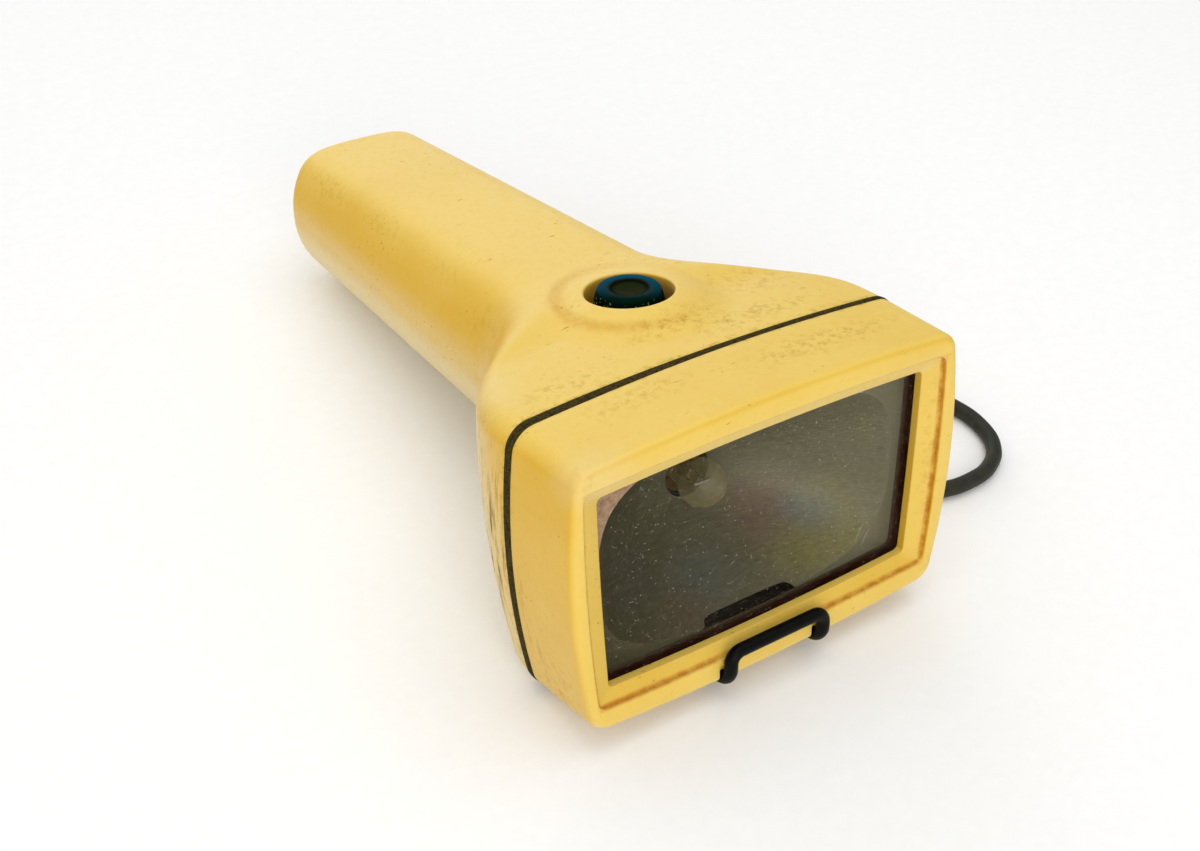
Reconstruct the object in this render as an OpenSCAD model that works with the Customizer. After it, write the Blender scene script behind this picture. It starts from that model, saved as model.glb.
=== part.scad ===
// Waterproof hand torch: a wide rectangular head on a moulded one-piece body, two D cells in the handle.
// Pieces are drawn along the beam: the front rim lies at y = 0, the beam axis is z = 0 and the tail
// points to +Y. lay() then sets the torch down on the two flats that it rests on.

/* [Head] */
// Width of the head between its corners, without the side crown
head_w = 123.6; // [118:0.2:126]
// Height of the head's upper corners above the beam axis
head_top = 41; // [39.5:0.25:43]
// Height of the head between its upper and lower corners
head_h = 81; // [80:0.2:82.4]
// Rise of the crowned top edge
top_crown = 2.8; // [1:0.2:4]
// Drop of the crowned bottom edge
bottom_crown = 2.4; // [1.6:0.2:4]
// Bulge of each side
side_crown = 4; // [2:0.25:5]
// Share by which the head widens from its middle to its top
head_lean = 0.026; // [0.02:0.002:0.04]
// Corner radius of the head
corner_r = 6.5; // [5.5:0.25:8]

/* [Bezel] */
// Length of the bezel from the front rim to the seal
bezel_l = 26.3; // [24:0.1:28]
// How much each side of the bezel draws in towards the front
bezel_draft = 1.2; // [0.6:0.1:1.6]
// Wall of the bezel behind the lens frame
bezel_wall = 2.8; // [2.4:0.1:3.2]
// Radius of the front rim
rim_r = 3.8; // [3:0.1:4]
// Distance from the head's side to the lens opening
frame_w = 9.8; // [9:0.1:11]
// Distance from the head's top or bottom to the lens opening, at the corners
frame_h = 12; // [11.4:0.1:13]
// Crown of the opening's long edges
opening_crown = 1.4; // [0.5:0.1:2]
// Depth of the opening's edge behind the front rim
opening_depth = 4.45; // [4:0.05:5]
// Width of the sloping frame beside the opening
frame_side = 5.1; // [4:0.1:5.5]
// Width of the sloping frame above and below the opening
frame_top = 3.8; // [3:0.1:4.2]
// Depth of the step round the sloping frame
step_depth = 1.55; // [1:0.05:2]
// Thickness of the lip that the lens sits behind
lip_t = 1.25; // [1:0.05:1.6]

/* [Seal and lens] */
// Thickness of the rubber seal between bezel and body
gasket_t = 2.4; // [1.8:0.1:3]
// How far the seal lies below the outer surface
gasket_inset = 0.4; // [0.2:0.1:0.8]
// Thickness of the lens
lens_t = 2.5; // [2:0.1:3]
// Overlap of the lens behind its lip
lens_lap = 2.2; // [1.8:0.1:2.4]
// Thickness of the lens seal behind the lens
lens_seal_t = 1.8; // [1.4:0.1:2.2]

/* [Handle] */
// Length of the head and neck, from the front rim to the bulkhead in front of the cells
head_l = 86.9; // [86:0.1:90]
// Width of the handle at the tail
tail_w = 55; // [54:0.25:58]
// Depth of the handle's underside below the beam axis, at the tail
tail_drop = 5; // [4:0.1:6]
// How far behind the bulkhead the neck sizes are taken
neck_back = 23.1; // [21:0.1:27]
// Width of the handle at the neck
neck_w = 64.6; // [63:0.2:66]
// Depth of the handle's underside below the beam axis, at the neck
neck_drop = 13.7; // [12:0.1:15]
// Height of the handle's flat top above the beam axis
handle_top = 43.6; // [43:0.1:45]
// Crown of the handle's flat top
handle_crown = 0.9; // [0.4:0.1:1.4]
// How far the edges of the flat top are rounded off
top_edge_k = 6; // [4:0.25:8]
// Radius round the tail
tail_r = 6; // [5:0.25:7]
// How far behind the bulkhead the flare leaves the handle
flare_back = 9.1; // [7:0.1:11]
// Where the flare would reach full width
flare_front = 31; // [29:0.5:33]
// How far behind the bulkhead the underside leaves the handle
belly_back = 19.1; // [15:0.1:23]
// Where the underside reaches its full depth
belly_front = 26; // [24:0.5:28]
// Wall of the body
wall = 2.6; // [2.4:0.1:3]
// Wall of the tail end
tail_wall = 3; // [2.6:0.1:3.4]
// Length of the body's spigot inside the bezel
spigot_l = 11; // [9:0.25:12]
// Wall of the spigot
spigot_wall = 2.2; // [1.8:0.1:2.6]
// Depth of the flats that the torch rests on
rest_flat = 0.8; // [0.6:0.05:1]
// Middle of the resting flat under the head
rest_head_y = 36; // [34:0.5:38]

/* [Button and switch] */
// Room between the switch and the bulkhead
switch_room = 2.4; // [1.6:0.1:3]
// Radius of the button cap
button_r = 10.1; // [9.8:0.1:10.6]
// Gap between the button cap and its recess
button_gap = 2.6; // [2.2:0.1:3.2]
// Travel of the button
button_travel = 3; // [2:0.1:3.2]
// Thickness of the button cap
button_t = 4; // [3.6:0.1:4.4]
// How far the button stands above the recess
button_proud = 0.8; // [0.4:0.1:1.2]
// Radius of the low dome round the button
dome_r = 21; // [20:0.25:22]
// Height of the dome as if it had no recess
dome_rise = 3.7; // [3.4:0.1:4.4]
// How far the dome leans back towards the thumb, in degrees
dome_lean = 4; // [0:0.25:5]
// Depth of the recess below the dome
recess_depth = 8.5; // [8.2:0.1:9]
// Radius of the plunger
plunger_r = 4; // [3.6:0.05:4.3]
// Radius of the switch barrel
barrel_r = 9; // [8.6:0.1:9.6]
// Depth of the switch barrel
barrel_l = 13.5; // [13:0.1:14.5]

/* [Bulb and reflector] */
// How far the reflector's bowl lies inside the opening at each side
bowl_side = 3; // [1.5:0.1:5]
// How far the reflector's bowl reaches past the opening at the top and bottom
bowl_over = 1; // [0:0.1:1.4]
// Depth of the reflector's bowl to its full point
bowl_l = 32; // [29:0.25:33]
// Thickness of the reflector
bowl_t = 1.5; // [1.2:0.1:1.8]
// Width of the notch in the bottom of the reflector
notch_w = 33.6; // [30:0.2:38]
// Height of the notch above the lower edge of the opening
notch_h = 3; // [2:0.1:5]
// Radius of the hole that the bulb stands in
bulb_hole_r = 7.6; // [7.2:0.1:8]
// Radius of the bulb's glass
bulb_r = 7.2; // [6.4:0.1:7.4]
// Length of the bulb's glass in front of its flange
bulb_l = 16.5; // [15.5:0.25:19]
// Radius of the bulb's base
base_r = 4.7; // [4.4:0.05:5]
// Length of the bulb's base behind its flange
base_l = 14; // [13:0.25:15]
// Radius of the bulb holder
holder_r = 10.4; // [10:0.1:11]

/* [Cells and contacts] */
// Radius of a D cell
cell_r = 16.9; // [16.4:0.05:17.1]
// Length of a D cell with its cap
cell_l = 61.5; // [60:0.1:62]
// Height of the cells' axis above the beam axis
cell_z = 21.5; // [20.5:0.25:22.5]
// Length of the tail spring between its plate and the rear cell
tail_spring_l = 12; // [11:0.25:13]
// Thickness of the contact sheet
sheet_t = 0.6; // [0.4:0.05:0.8]
// Thickness of the bulkhead in front of the cells
bulkhead_t = 3; // [2.4:0.1:3.4]

/* [Bail and lanyard] */
// Radius of the bail's wire
wire_r = 1.95; // [1.7:0.05:2.1]
// Width of the bail between the middles of its legs
bail_w = 32.6; // [31:0.2:36]
// Height of the bail's crossbar, measured below the beam axis
bail_bar_z = 31.1; // [30:0.1:32]
// Distance of the bail's pivot from the front rim
pivot_y = 14.4; // [14:0.1:15]
// Depth of the bail's pivot below the beam axis
pivot_z = 36.6; // [36:0.1:37.2]
// Radius of the lanyard cord
cord_r = 2.6; // [2.3:0.1:2.8]
// Depth of the sockets that hold the cord's ends
socket_l = 8; // [7:0.25:9]

/* [Hidden] */

$fn = 96;
// Clearances: fixed fits, parts that lie against each other, a running fit and moving parts
fit_gap = 0.2;
touch_gap = 0.05;
run_gap = 0.08;
move_gap = 0.35;
// Cuts reach past the faces that they open by this much
over = 1;
// Steps on each corner, side, and top or bottom edge of a section, and on a quarter round
corner_steps = 9;
side_steps = 5;
edge_steps = 6;
round_steps = 6;

// Places along the torch
gasket_front = bezel_l + touch_gap;
body_front = gasket_front + gasket_t + touch_gap;
seam_y = (bezel_l + body_front) / 2;
lip_back = opening_depth + lip_t;
lens_back = lip_back + touch_gap + lens_t;
flange_y = lens_back + lens_seal_t + 2 * touch_gap;
bowl_front = flange_y + bowl_t;
spigot_front = body_front - touch_gap - spigot_l;
contact_t = 1.4;
bulkhead_y = head_l;
cells_front = bulkhead_y + bulkhead_t + contact_t + touch_gap;
cells_mid = cells_front + cell_l;
cells_rear = cells_mid + cell_l;
plate_front = cells_rear + tail_spring_l;
tail_inner = plate_front + sheet_t + touch_gap;
torch_l = tail_inner + tail_wall;
neck_y = bulkhead_y + neck_back;
flare_rear = bulkhead_y + flare_back;
belly_rear = bulkhead_y + belly_back;
head_bottom = head_h - head_top;
opening_w = head_w - 2 * frame_w;
opening_h = head_h - 2 * frame_h;
bowl_w = opening_w - 2 * bowl_side;
bowl_h = opening_h + 2 * bowl_over;

// A value between a and b, and a smooth rise from 0 to 1
function mix(a, b, t) = a + (b - a) * t;
function ease(t) = let (c = min(1, max(0, t))) c * c * (3 - 2 * c);

// A section is [half width, top, bottom, top crown, bottom crown, side crown, lean, upper radius, lower radius,
// height that its top is flattened to]
function neck_share(y) = (torch_l - y) / (torch_l - neck_y);
function handle_half(y) = mix(tail_w, neck_w, neck_share(y)) / 2;
function handle_low(y) = -mix(tail_drop, neck_drop, neck_share(y));
round_share = 0.96;
low_crown = 0.3;
flat_lift = 5;
flare_lean = 0.04;
function body_section(y) =
    let (s = ease((flare_rear - y) / (flare_rear - flare_front)),
         b = ease((belly_rear - y) / (belly_rear - belly_front)),
         r = ease(1.5 * s))
    [mix(handle_half(y), head_w / 2, s),
     mix(handle_low(y) + 2 * handle_half(y), head_top, r),
     mix(handle_low(y), -head_bottom, b),
     mix(handle_crown, top_crown, s),
     mix(low_crown, bottom_crown, b),
     side_crown * s,
     head_lean * s + flare_lean * 12 * pow(s, 4) * (1 - s),
     mix(round_share * handle_half(y), corner_r, r),
     mix(round_share * handle_half(y), corner_r, pow(s, 3)),
     mix(handle_top, head_top + flat_lift, s)];
// The lower of two heights, with the change from one to the other rounded off
function soft_min(a, b, k) = let (h = max(k - abs(a - b), 0) / k) min(a, b) - h * h * k / 4;
function surface_z(y) = let (s = body_section(y)) soft_min(s[1], s[9], top_edge_k) + s[3];
function underside(y) = let (s = body_section(y)) s[2] - s[4];

// Points of a section drawn in by an inset: a rounded rectangle whose edges are then crowned
least_r = 0.8;
function rounded(w, top, low, rt, rb) = concat(
    [for (i = [0:side_steps - 1]) [w, mix(low + rb, top - rt, i / side_steps)]],
    [for (i = [0:corner_steps - 1]) let (a = 90 * i / corner_steps)
        [w - rt + rt * cos(a), top - rt + rt * sin(a)]],
    [for (i = [0:edge_steps - 1]) [mix(w - rt, rt - w, i / edge_steps), top]],
    [for (i = [0:corner_steps - 1]) let (a = 90 * i / corner_steps)
        [rt - w - rt * sin(a), top - rt + rt * cos(a)]],
    [for (i = [0:side_steps - 1]) [-w, mix(top - rt, low + rb, i / side_steps)]],
    [for (i = [0:corner_steps - 1]) let (a = 90 * i / corner_steps)
        [rb - w - rb * cos(a), low + rb - rb * sin(a)]],
    [for (i = [0:edge_steps - 1]) [mix(rb - w, w - rb, i / edge_steps), low]],
    [for (i = [0:corner_steps - 1]) let (a = 90 * i / corner_steps)
        [w - rb + rb * sin(a), low + rb - rb * cos(a)]]);
function outline(s, inset = 0) =
    let (w = s[0] - inset, top = s[1] - inset, low = s[2] + inset,
         middle = (top + low) / 2, half = (top - low) / 2,
         rt = max(least_r, s[7] - inset), rb = max(least_r, s[8] - inset),
         flat = is_undef(s[9]) ? undef : s[9] - inset)
    [for (p = rounded(w, top, low, rt, rb))
        let (u = p[0] / w, v = (p[1] - middle) / half)
        [p[0] * (1 + s[6] * v) + s[5] * u * (1 - v * v),
         (is_undef(flat) ? p[1] : soft_min(p[1], flat, top_edge_k)) + (v > 0 ? s[3] : s[4]) * v * (1 - u * u)]];
function at(y, points) = [for (p = points) [p[0], y, p[1]]];
// A ring of the body or, in front of the seam, of the bezel, which draws in towards the rim
function draft_inset(y) = bezel_draft * max(0, 1 - y / seam_y);
function ring(y, inset = 0) = at(y, outline(body_section(max(y, seam_y)), inset + draft_inset(y)));

function mean(list) = list * [for (x = list) 1] / len(list);
// Skins a row of rings that all have the same number of points
module skin(rings, loop = false) {
    n = len(rings[0]);
    rows = len(rings);
    sides = [for (j = [0:rows - (loop ? 1 : 2)], i = [0:n - 1])
        let (a = j * n + i, b = j * n + (i + 1) % n, next = ((j + 1) % rows) * n)
        each [[a, b, next + (i + 1) % n], [a, next + (i + 1) % n, next + i]]];
    ends = loop ? [] : [for (r = [rings[0], rings[rows - 1]]) [for (k = [0:2]) mean([for (p = r) p[k]])]];
    caps = loop ? [] : [for (i = [0:n - 1]) let (b = (i + 1) % n, far = (rows - 1) * n)
        each [[b, i, rows * n], [far + i, far + b, rows * n + 1]]];
    polyhedron(points = concat([for (r = rings) each r], ends), faces = concat(sides, caps), convexity = 10);
}
// A flat plate with a section's outline, from one place along the torch to another
module plate(from, to, points)
    translate([0, to, 0]) rotate([90, 0, 0]) linear_extrude(to - from) polygon(points);
module along_y(from, to, r, r2 = undef)
    translate([0, from, 0]) rotate([-90, 0, 0])
        cylinder(h = to - from, r1 = r, r2 = is_undef(r2) ? r : r2);
module box(low, high) translate(low) cube(high - low);

// Sets the torch down: the flats under the head and the tail lie on z = 0
rest_tail_y = torch_l - tail_r - 4;
rest_head = [rest_head_y, underside(rest_head_y) + rest_flat];
rest_tail = [rest_tail_y, underside(rest_tail_y) + rest_flat];
rest_tilt = atan2(rest_tail[1] - rest_head[1], rest_tail[0] - rest_head[0]);
module lay() rotate([-rest_tilt, 0, 0]) translate([0, -rest_head[0], -rest_head[1]]) children();

// Body
outer_steps = 26;
inner_steps = 14;
flare_end = belly_rear + 4;
tail_straight = torch_l - tail_r;
spigot_in = bezel_wall + fit_gap;
cavity_in = spigot_in + spigot_wall;
cavity_blend = 4;
switch_screw_y = 15.5;
switch_screw_r = 1.3;
boss_r = 3.6;
button_y = bulkhead_y - switch_room - boss_r - switch_screw_y;
button_top = surface_z(button_y);
dome_ball = (dome_r * dome_r + dome_rise * dome_rise) / (2 * dome_rise);
dome_shift = dome_ball * sin(dome_lean);
recess_r = button_r + button_gap;
dome_z = button_top + dome_rise - dome_ball;
recess_rim = dome_z + sqrt(dome_ball * dome_ball - recess_r * recess_r);
recess_z = recess_rim - recess_depth;
recess_floor = 2.4;
boss_z = recess_z - recess_floor;
rib_t = 2.4;
bay_r = cell_r + move_gap;
socket_angle = 35;
socket_y = [torch_l - 19.5, torch_l - 9.5];
socket_r = cord_r + run_gap;
socket_wall = 2.2;
socket_mid_z = (handle_top - tail_drop) / 2 + 3;
// Where a socket's axis meets the outside of the handle, and its outward direction
function socket_mouth(y) =
    let (low = handle_low(y), r = round_share * handle_half(y), w = handle_half(y))
    [w - r + r * cos(socket_angle), y, low - low_crown + r - r * sin(socket_angle)];
module socket_axis(y) translate(socket_mouth(y)) rotate([0, 90 + socket_angle, 0]) children();

module outer_form() skin(concat(
    [ring(spigot_front, spigot_in), ring(body_front, spigot_in), ring(body_front)],
    [for (i = [1:outer_steps]) ring(mix(body_front, flare_end, i / outer_steps))],
    [for (i = [0:round_steps]) let (a = 90 * i / round_steps)
        ring(tail_straight + (tail_r + over) * sin(a), tail_r * (1 - cos(a)))]));
module cavity_form() skin(concat(
    [ring(spigot_front - over, cavity_in), ring(body_front + cavity_blend / 2, cavity_in)],
    [for (i = [1:inner_steps])
        ring(mix(body_front + cavity_blend, flare_end, i / inner_steps), wall)],
    [ring(tail_inner, wall)]));
module inner_features() {
    // Ribs that centre the cells
    difference() {
        for (a = [45:90:315])
            translate([0, 0, cell_z]) rotate([0, a, 0])
                box([0, bulkhead_y + bulkhead_t + touch_gap, -rib_t / 2], [neck_w, tail_inner, rib_t / 2]);
        translate([0, 0, cell_z]) along_y(bulkhead_y, tail_inner + over, bay_r);
    }
    // Cup of the button recess and the bosses that carry the switch
    translate([0, button_y, boss_z]) cylinder(r = recess_r + wall, h = button_top - boss_z);
    for (side = [-1, 1])
        translate([0, button_y + side * switch_screw_y, boss_z]) cylinder(r = boss_r, h = button_top - boss_z);
    // Block round the blind sockets for the cord's ends
    difference() {
        socket_axis(socket_y[0])
            box([-socket_r - socket_wall, -socket_r - socket_wall, -socket_l - socket_wall],
                [socket_r + 2 * socket_wall, tail_inner - socket_y[0] + over, 0]);
        translate([0, 0, cell_z]) along_y(bulkhead_y, tail_inner + tail_r, bay_r);
    }
}
module body_shell() color("gold") difference() {
    union() {
        outer_form();
        intersection() {
            translate([0, button_y - dome_shift, dome_z]) sphere(r = dome_ball);
            translate([0, button_y - dome_shift, button_top - wall])
                cylinder(r = dome_r + 2 * over, h = wall + 2 * dome_rise);
        }
    }
    difference() {
        cavity_form();
        inner_features();
    }
    // Button recess and the plunger's bore
    translate([0, button_y, recess_z]) cylinder(r = recess_r, h = recess_depth + dome_rise);
    translate([0, button_y, boss_z - over]) cylinder(r = plunger_r + run_gap, h = recess_floor + 2 * over);
    for (side = [-1, 1])
        translate([0, button_y + side * switch_screw_y, boss_z - over])
            cylinder(r = switch_screw_r, h = screw_l + over);
    for (y = socket_y)
        socket_axis(y) translate([0, 0, -socket_l]) cylinder(r = socket_r, h = socket_l + tail_r);
    // Room in the spigot for the bail's pocket
    box([-pocket_w / 2 - move_gap, spigot_front - over, -head_top - bottom_crown],
        [pocket_w / 2 + move_gap, pocket_rear + move_gap, pocket_top + move_gap]);
    // Resting flats and the flat tail
    translate([0, rest_head[0], rest_head[1]]) rotate([rest_tilt, 0, 0])
        box([-head_w, -head_w / 2, -head_top], [head_w, torch_l, 0]);
    box([-head_w, torch_l, -head_w], [head_w, torch_l + tail_r, head_w]);
}

// Bezel with its lens frame and the pocket that the bail turns in
corner_in = 1.5;
opening = [opening_w / 2, opening_h / 2, -opening_h / 2, opening_crown, opening_crown, 0.4, 0.02,
           corner_in, corner_in];
step = opening + [frame_side, frame_top, -frame_top, 0, 0, 0, 0, corner_in, corner_in];
lens_edge = opening + [lens_lap, lens_lap, -lens_lap, 0, 0, 0, 0, corner_in, corner_in];
function bezel_inside(y) = ring(y, bezel_wall);
leg_gap = move_gap + wire_r;
pocket_w = bail_w + 2 * leg_gap + 2 * bezel_wall;
pocket_front = flange_y + touch_gap;
pocket_rear = pivot_y + 4.6 + bezel_wall;
slot_top = -pivot_z + leg_gap;
pocket_top = slot_top + bezel_wall;
groove_top = -37.6;
seal_edge = 1.6;
block_top = -opening_h / 2 - opening_crown - lens_lap - seal_edge - fit_gap;
post_r = 2.4;
post_x = 27;
post_z = opening_h / 2 + opening_crown + lens_lap + post_r + fit_gap / 2;
screw_r = 1.1;
screw_l = 7;
screw_head_r = 2.4;
screw_head_t = 1.6;
module at_posts() for (x = [-post_x, post_x], z = [-post_z, post_z]) translate([x, 0, z]) children();

module front_bezel() color("khaki") difference() {
    union() {
        skin(concat(
            [bezel_inside(bezel_l), bezel_inside(seam_y / 2), bezel_inside(lip_back)],
            [at(lip_back, outline(opening)), at(opening_depth, outline(opening))],
            [at(step_depth, outline(step)), at(0, outline(step))],
            [for (i = [round_steps:-1:0]) let (a = 90 * i / round_steps)
                ring(rim_r * (1 - sin(a)), rim_r * (1 - cos(a)))],
            [ring(seam_y / 2), ring(bezel_l)]), loop = true);
        at_posts() along_y(lip_back - lip_t / 2, flange_y - touch_gap, post_r);
        intersection() {
            union() {
                box([-pocket_w / 2, pocket_front, -head_w], [pocket_w / 2, pocket_rear, pocket_top]);
                box([-pocket_w / 2, lip_back - lip_t / 2, -head_w],
                    [pocket_w / 2, pocket_front + over, block_top]);
            }
            skin([ring(lip_back - lip_t, bezel_wall / 2), ring(bezel_l, bezel_wall / 2)]);
        }
    }
    at_posts() along_y(lip_back + touch_gap, flange_y + over, screw_r);
    for (side = [-1, 1]) {
        leg_x = side * bail_w / 2;
        box([leg_x - leg_gap, pivot_y - 5, -head_w], [leg_x + leg_gap, pocket_rear - bezel_wall, slot_top]);
        box([leg_x - leg_gap, -over, -head_w], [leg_x + leg_gap, pivot_y, groove_top]);
        box([leg_x - leg_gap, -over, -head_w], [leg_x + leg_gap, wire_r / 2, groove_top + wire_r]);
        box([leg_x - leg_gap, rise_y + over, -head_w], [leg_x + leg_gap, pivot_y, groove_top + wire_r / 2]);
    }
    translate([0, pivot_y, -pivot_z]) rotate([0, 90, 0])
        cylinder(r = wire_r + run_gap, h = bail_w, center = true);
}
module seal_gasket() color("darkolivegreen") skin([
    ring(gasket_front + gasket_t, bezel_wall), ring(gasket_front, bezel_wall),
    ring(gasket_front, gasket_inset), ring(gasket_front + gasket_t, gasket_inset)], loop = true);

// Lens stack
module lens() color("lightgray", 0.4) plate(lip_back + touch_gap, lens_back, outline(lens_edge));
module lens_seal() color("maroon") difference() {
    plate(lip_back + touch_gap, flange_y - touch_gap, outline(lens_edge, -seal_edge));
    plate(lip_back, lens_back + touch_gap, outline(lens_edge, -touch_gap));
    plate(lip_back, flange_y + over, outline(opening, -0.4));
    at_posts() along_y(lip_back, flange_y + over, post_r + fit_gap);
}

// Reflector: a flange behind the lens and an oval bowl with a plate that the bulb stands in
bowl_points = 48;
bowl_rings = 8;
throat = 0.1;
bowl_square = 0.62;
// The bowl is round at its throat and squarer towards its rim
function squared(v, share) = sign(v) * pow(abs(v), mix(1, bowl_square, share));
function oval(share, grow) = [for (i = [0:bowl_points - 1]) let (a = 360 * i / bowl_points)
    [(bowl_w / 2 * sqrt(share) + grow) * squared(cos(a), share),
     (bowl_h / 2 * sqrt(share) + grow) * squared(sin(a), share)]];
function bowl_y(share) = flange_y + bowl_l * (1 - share);
throat_y = bowl_y(throat);
flange_gap = 0.6;
notch_r = 4;
notch_top = notch_h - opening_h / 2;
notch_outline = concat([[notch_w / 2, -head_w]],
    [for (i = [0:round_steps]) let (a = 90 * i / round_steps)
        [notch_w / 2 - notch_r * (1 - cos(a)), notch_top - notch_r * (1 - sin(a))]],
    [for (i = [0:round_steps]) let (a = 90 * i / round_steps)
        [notch_r * (1 - sin(a)) - notch_w / 2, notch_top - notch_r * (1 - cos(a))]],
    [[-notch_w / 2, -head_w]]);
module bottom_notch() {
    plate(flange_y - over, flange_y + bowl_l, notch_outline);
    box([-pocket_w / 2 - move_gap, flange_y - over, -head_w],
        [pocket_w / 2 + move_gap, pocket_rear + move_gap, pocket_top + move_gap]);
}
module reflector() color("silver") {
    difference() {
        plate(flange_y, bowl_front, outline(body_section(seam_y), bezel_wall + bezel_draft + flange_gap));
        plate(flange_y - over, bowl_front + over, oval(1, 0));
        at_posts() along_y(flange_y - over, bowl_front + over, screw_r + fit_gap);
        bottom_notch();
    }
    difference() {
        skin(concat(
            [for (i = [0:bowl_rings]) let (s = mix(throat, 1, i / bowl_rings)) at(bowl_y(s), oval(s, 0))],
            [for (i = [bowl_rings:-1:0]) let (s = mix(throat, 1, i / bowl_rings))
                at(bowl_y(s) + bowl_t * (i < bowl_rings ? 1 : 0.5), oval(s, bowl_t))]), loop = true);
        bottom_notch();
    }
    difference() {
        union() {
            plate(throat_y, throat_y + bowl_t, oval(throat, bowl_t / 2));
            along_y(throat_y + bowl_t / 2, throat_y + collar_l, holder_r + fit_gap + bowl_t);
        }
        along_y(throat_y - over, throat_y + collar_l + over, bulb_hole_r);
        along_y(throat_y + bowl_t, throat_y + collar_l + over, holder_r + fit_gap);
    }
}
module reflector_screws() color("dimgray") at_posts() {
    along_y(lip_back + 2 * touch_gap, bowl_front, screw_r - touch_gap);
    along_y(bowl_front + touch_gap / 2, bowl_front + screw_head_t, screw_head_r);
    along_y(bowl_front - touch_gap, bowl_front + touch_gap, screw_r - touch_gap);
}

// Bulb with a flanged base, in a holder that the reflector's collar carries
collar_l = 8;
holder_front = throat_y + bowl_t + touch_gap;
flange_t = 1;
bulb_flange_y = holder_front + 1;
bulb_flange_r = 7;
base_front = bulb_flange_y + flange_t;
base_rear = base_front + base_l;
tip_r = 1.8;
tip_l = 1.6;
holder_rear = base_rear - 2;
glass_t = 0.6;
glass_neck_r = base_r - 0.5;
module bulb_glass() color("white", 0.4) translate([0, bulb_flange_y, 0]) rotate([90, 0, 0])
    rotate_extrude() difference() {
        glass_profile(0);
        glass_profile(glass_t);
        translate([-over, -over]) square([over + glass_neck_r - glass_t, 2 * over]);
    }
// Half profile of the bulb's glass, from its neck to its round end
module glass_profile(inset) intersection() {
    union() {
        translate([0, bulb_l - bulb_r]) circle(r = bulb_r - inset);
        polygon([[0, inset - 0.01], [glass_neck_r - inset, inset - 0.01],
                 [glass_neck_r - inset, bulb_l - 2 * bulb_r], [bulb_r - inset, bulb_l - bulb_r],
                 [0, bulb_l - bulb_r]]);
    }
    square([2 * bulb_r, bulb_l]);
}
module bulb_base() color("goldenrod") {
    along_y(bulb_flange_y + touch_gap, base_front, bulb_flange_r);
    along_y(base_front - touch_gap, base_rear, base_r);
    along_y(base_rear - touch_gap, base_rear + tip_l, tip_r);
}
filament_r = 0.25;
post_gap = 2.2;
module bulb_filament() color("gray") {
    for (x = [-post_gap, post_gap])
        translate([x, 0, 0]) along_y(bulb_flange_y - bulb_l + bulb_r, bulb_flange_y + touch_gap, filament_r);
    translate([0, bulb_flange_y - bulb_l + bulb_r, 0]) rotate([0, 90, 0])
        cylinder(r = 1.6 * filament_r, h = 2 * post_gap + 4 * filament_r, center = true);
}
module bulb_holder() color("darkslategray") difference() {
    along_y(holder_front, holder_rear, holder_r);
    along_y(holder_front - over, holder_rear + over, base_r + touch_gap);
    along_y(holder_front - over, base_front + touch_gap, bulb_flange_r + fit_gap);
}
ring_l = 4;
ring_t = 0.7;
module holder_ring() color("gainsboro") difference() {
    along_y(holder_rear - ring_l, holder_rear, holder_r + touch_gap + ring_t);
    along_y(holder_rear - ring_l - over, holder_rear + over, holder_r + touch_gap);
}

// Bail of bent wire: a round rod through a list of corners, each with its own bend radius
function unit(v) = v / norm(v);
wire_sides = 12;
bend_step = 18;
// Points along the rod: straight runs, and for each corner the arc that rounds it
function bent(corners, bends) =
    let (last = len(corners) - 1,
         ways = [for (i = [0:last - 1]) unit(corners[i + 1] - corners[i])])
    [for (i = [0:last]) each i == 0 || i == last ? [corners[i]] :
        let (turn = acos(ways[i - 1] * ways[i]), steps = ceil(turn / bend_step),
             axis = unit(cross(ways[i - 1], ways[i])), out = cross(ways[i - 1], axis),
             middle = corners[i] - ways[i - 1] * bends[i] * tan(turn / 2) - out * bends[i])
        [for (k = [0:steps]) let (a = turn * k / steps)
            middle + bends[i] * (out * cos(a) + ways[i - 1] * sin(a))]];
// A tube along points; lead is a direction that no part of the route takes
module tube(path, r, sides, lead) {
    last = len(path) - 1;
    skin([for (k = [0:last])
        let (way = unit(path[min(last, k + 1)] - path[max(0, k - 1)]),
             side = unit(cross(way, lead)), up = cross(side, way))
        [for (i = [0:sides - 1]) let (b = 360 * i / sides) path[k] + r * (cos(b) * side + sin(b) * up)]]);
}
pin_l = 8;
pin_bend = 2.4;
bar_y = -wire_r - touch_gap;
run_z = groove_top - 3.6;
rise_y = pivot_y - 7.9;
bail_half = [[bail_w / 2 - pin_bend - over, pivot_y, -pivot_z], [bail_w / 2, pivot_y, -pivot_z],
             [bail_w / 2, rise_y, run_z], [bail_w / 2, bar_y, run_z], [bail_w / 2, bar_y, -bail_bar_z]];
bail_bends = [0, pin_bend, 4, 5.4, 3.4];
function reverse(list) = [for (i = [len(list) - 1:-1:0]) list[i]];
module bail() color("black") {
    tube(bent(concat(bail_half, [for (p = reverse(bail_half)) [-p[0], p[1], p[2]]]),
              concat(bail_bends, reverse(bail_bends))), 0.99 * wire_r, wire_sides, [0, 0.53, 0.85]);
    for (side = [-1, 1])
        translate([side * (bail_w / 2 - pin_l / 2 - pin_bend / 2), pivot_y, -pivot_z]) rotate([0, 90, 0])
            cylinder(r = wire_r, h = pin_l - pin_bend, center = true);
}

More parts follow.
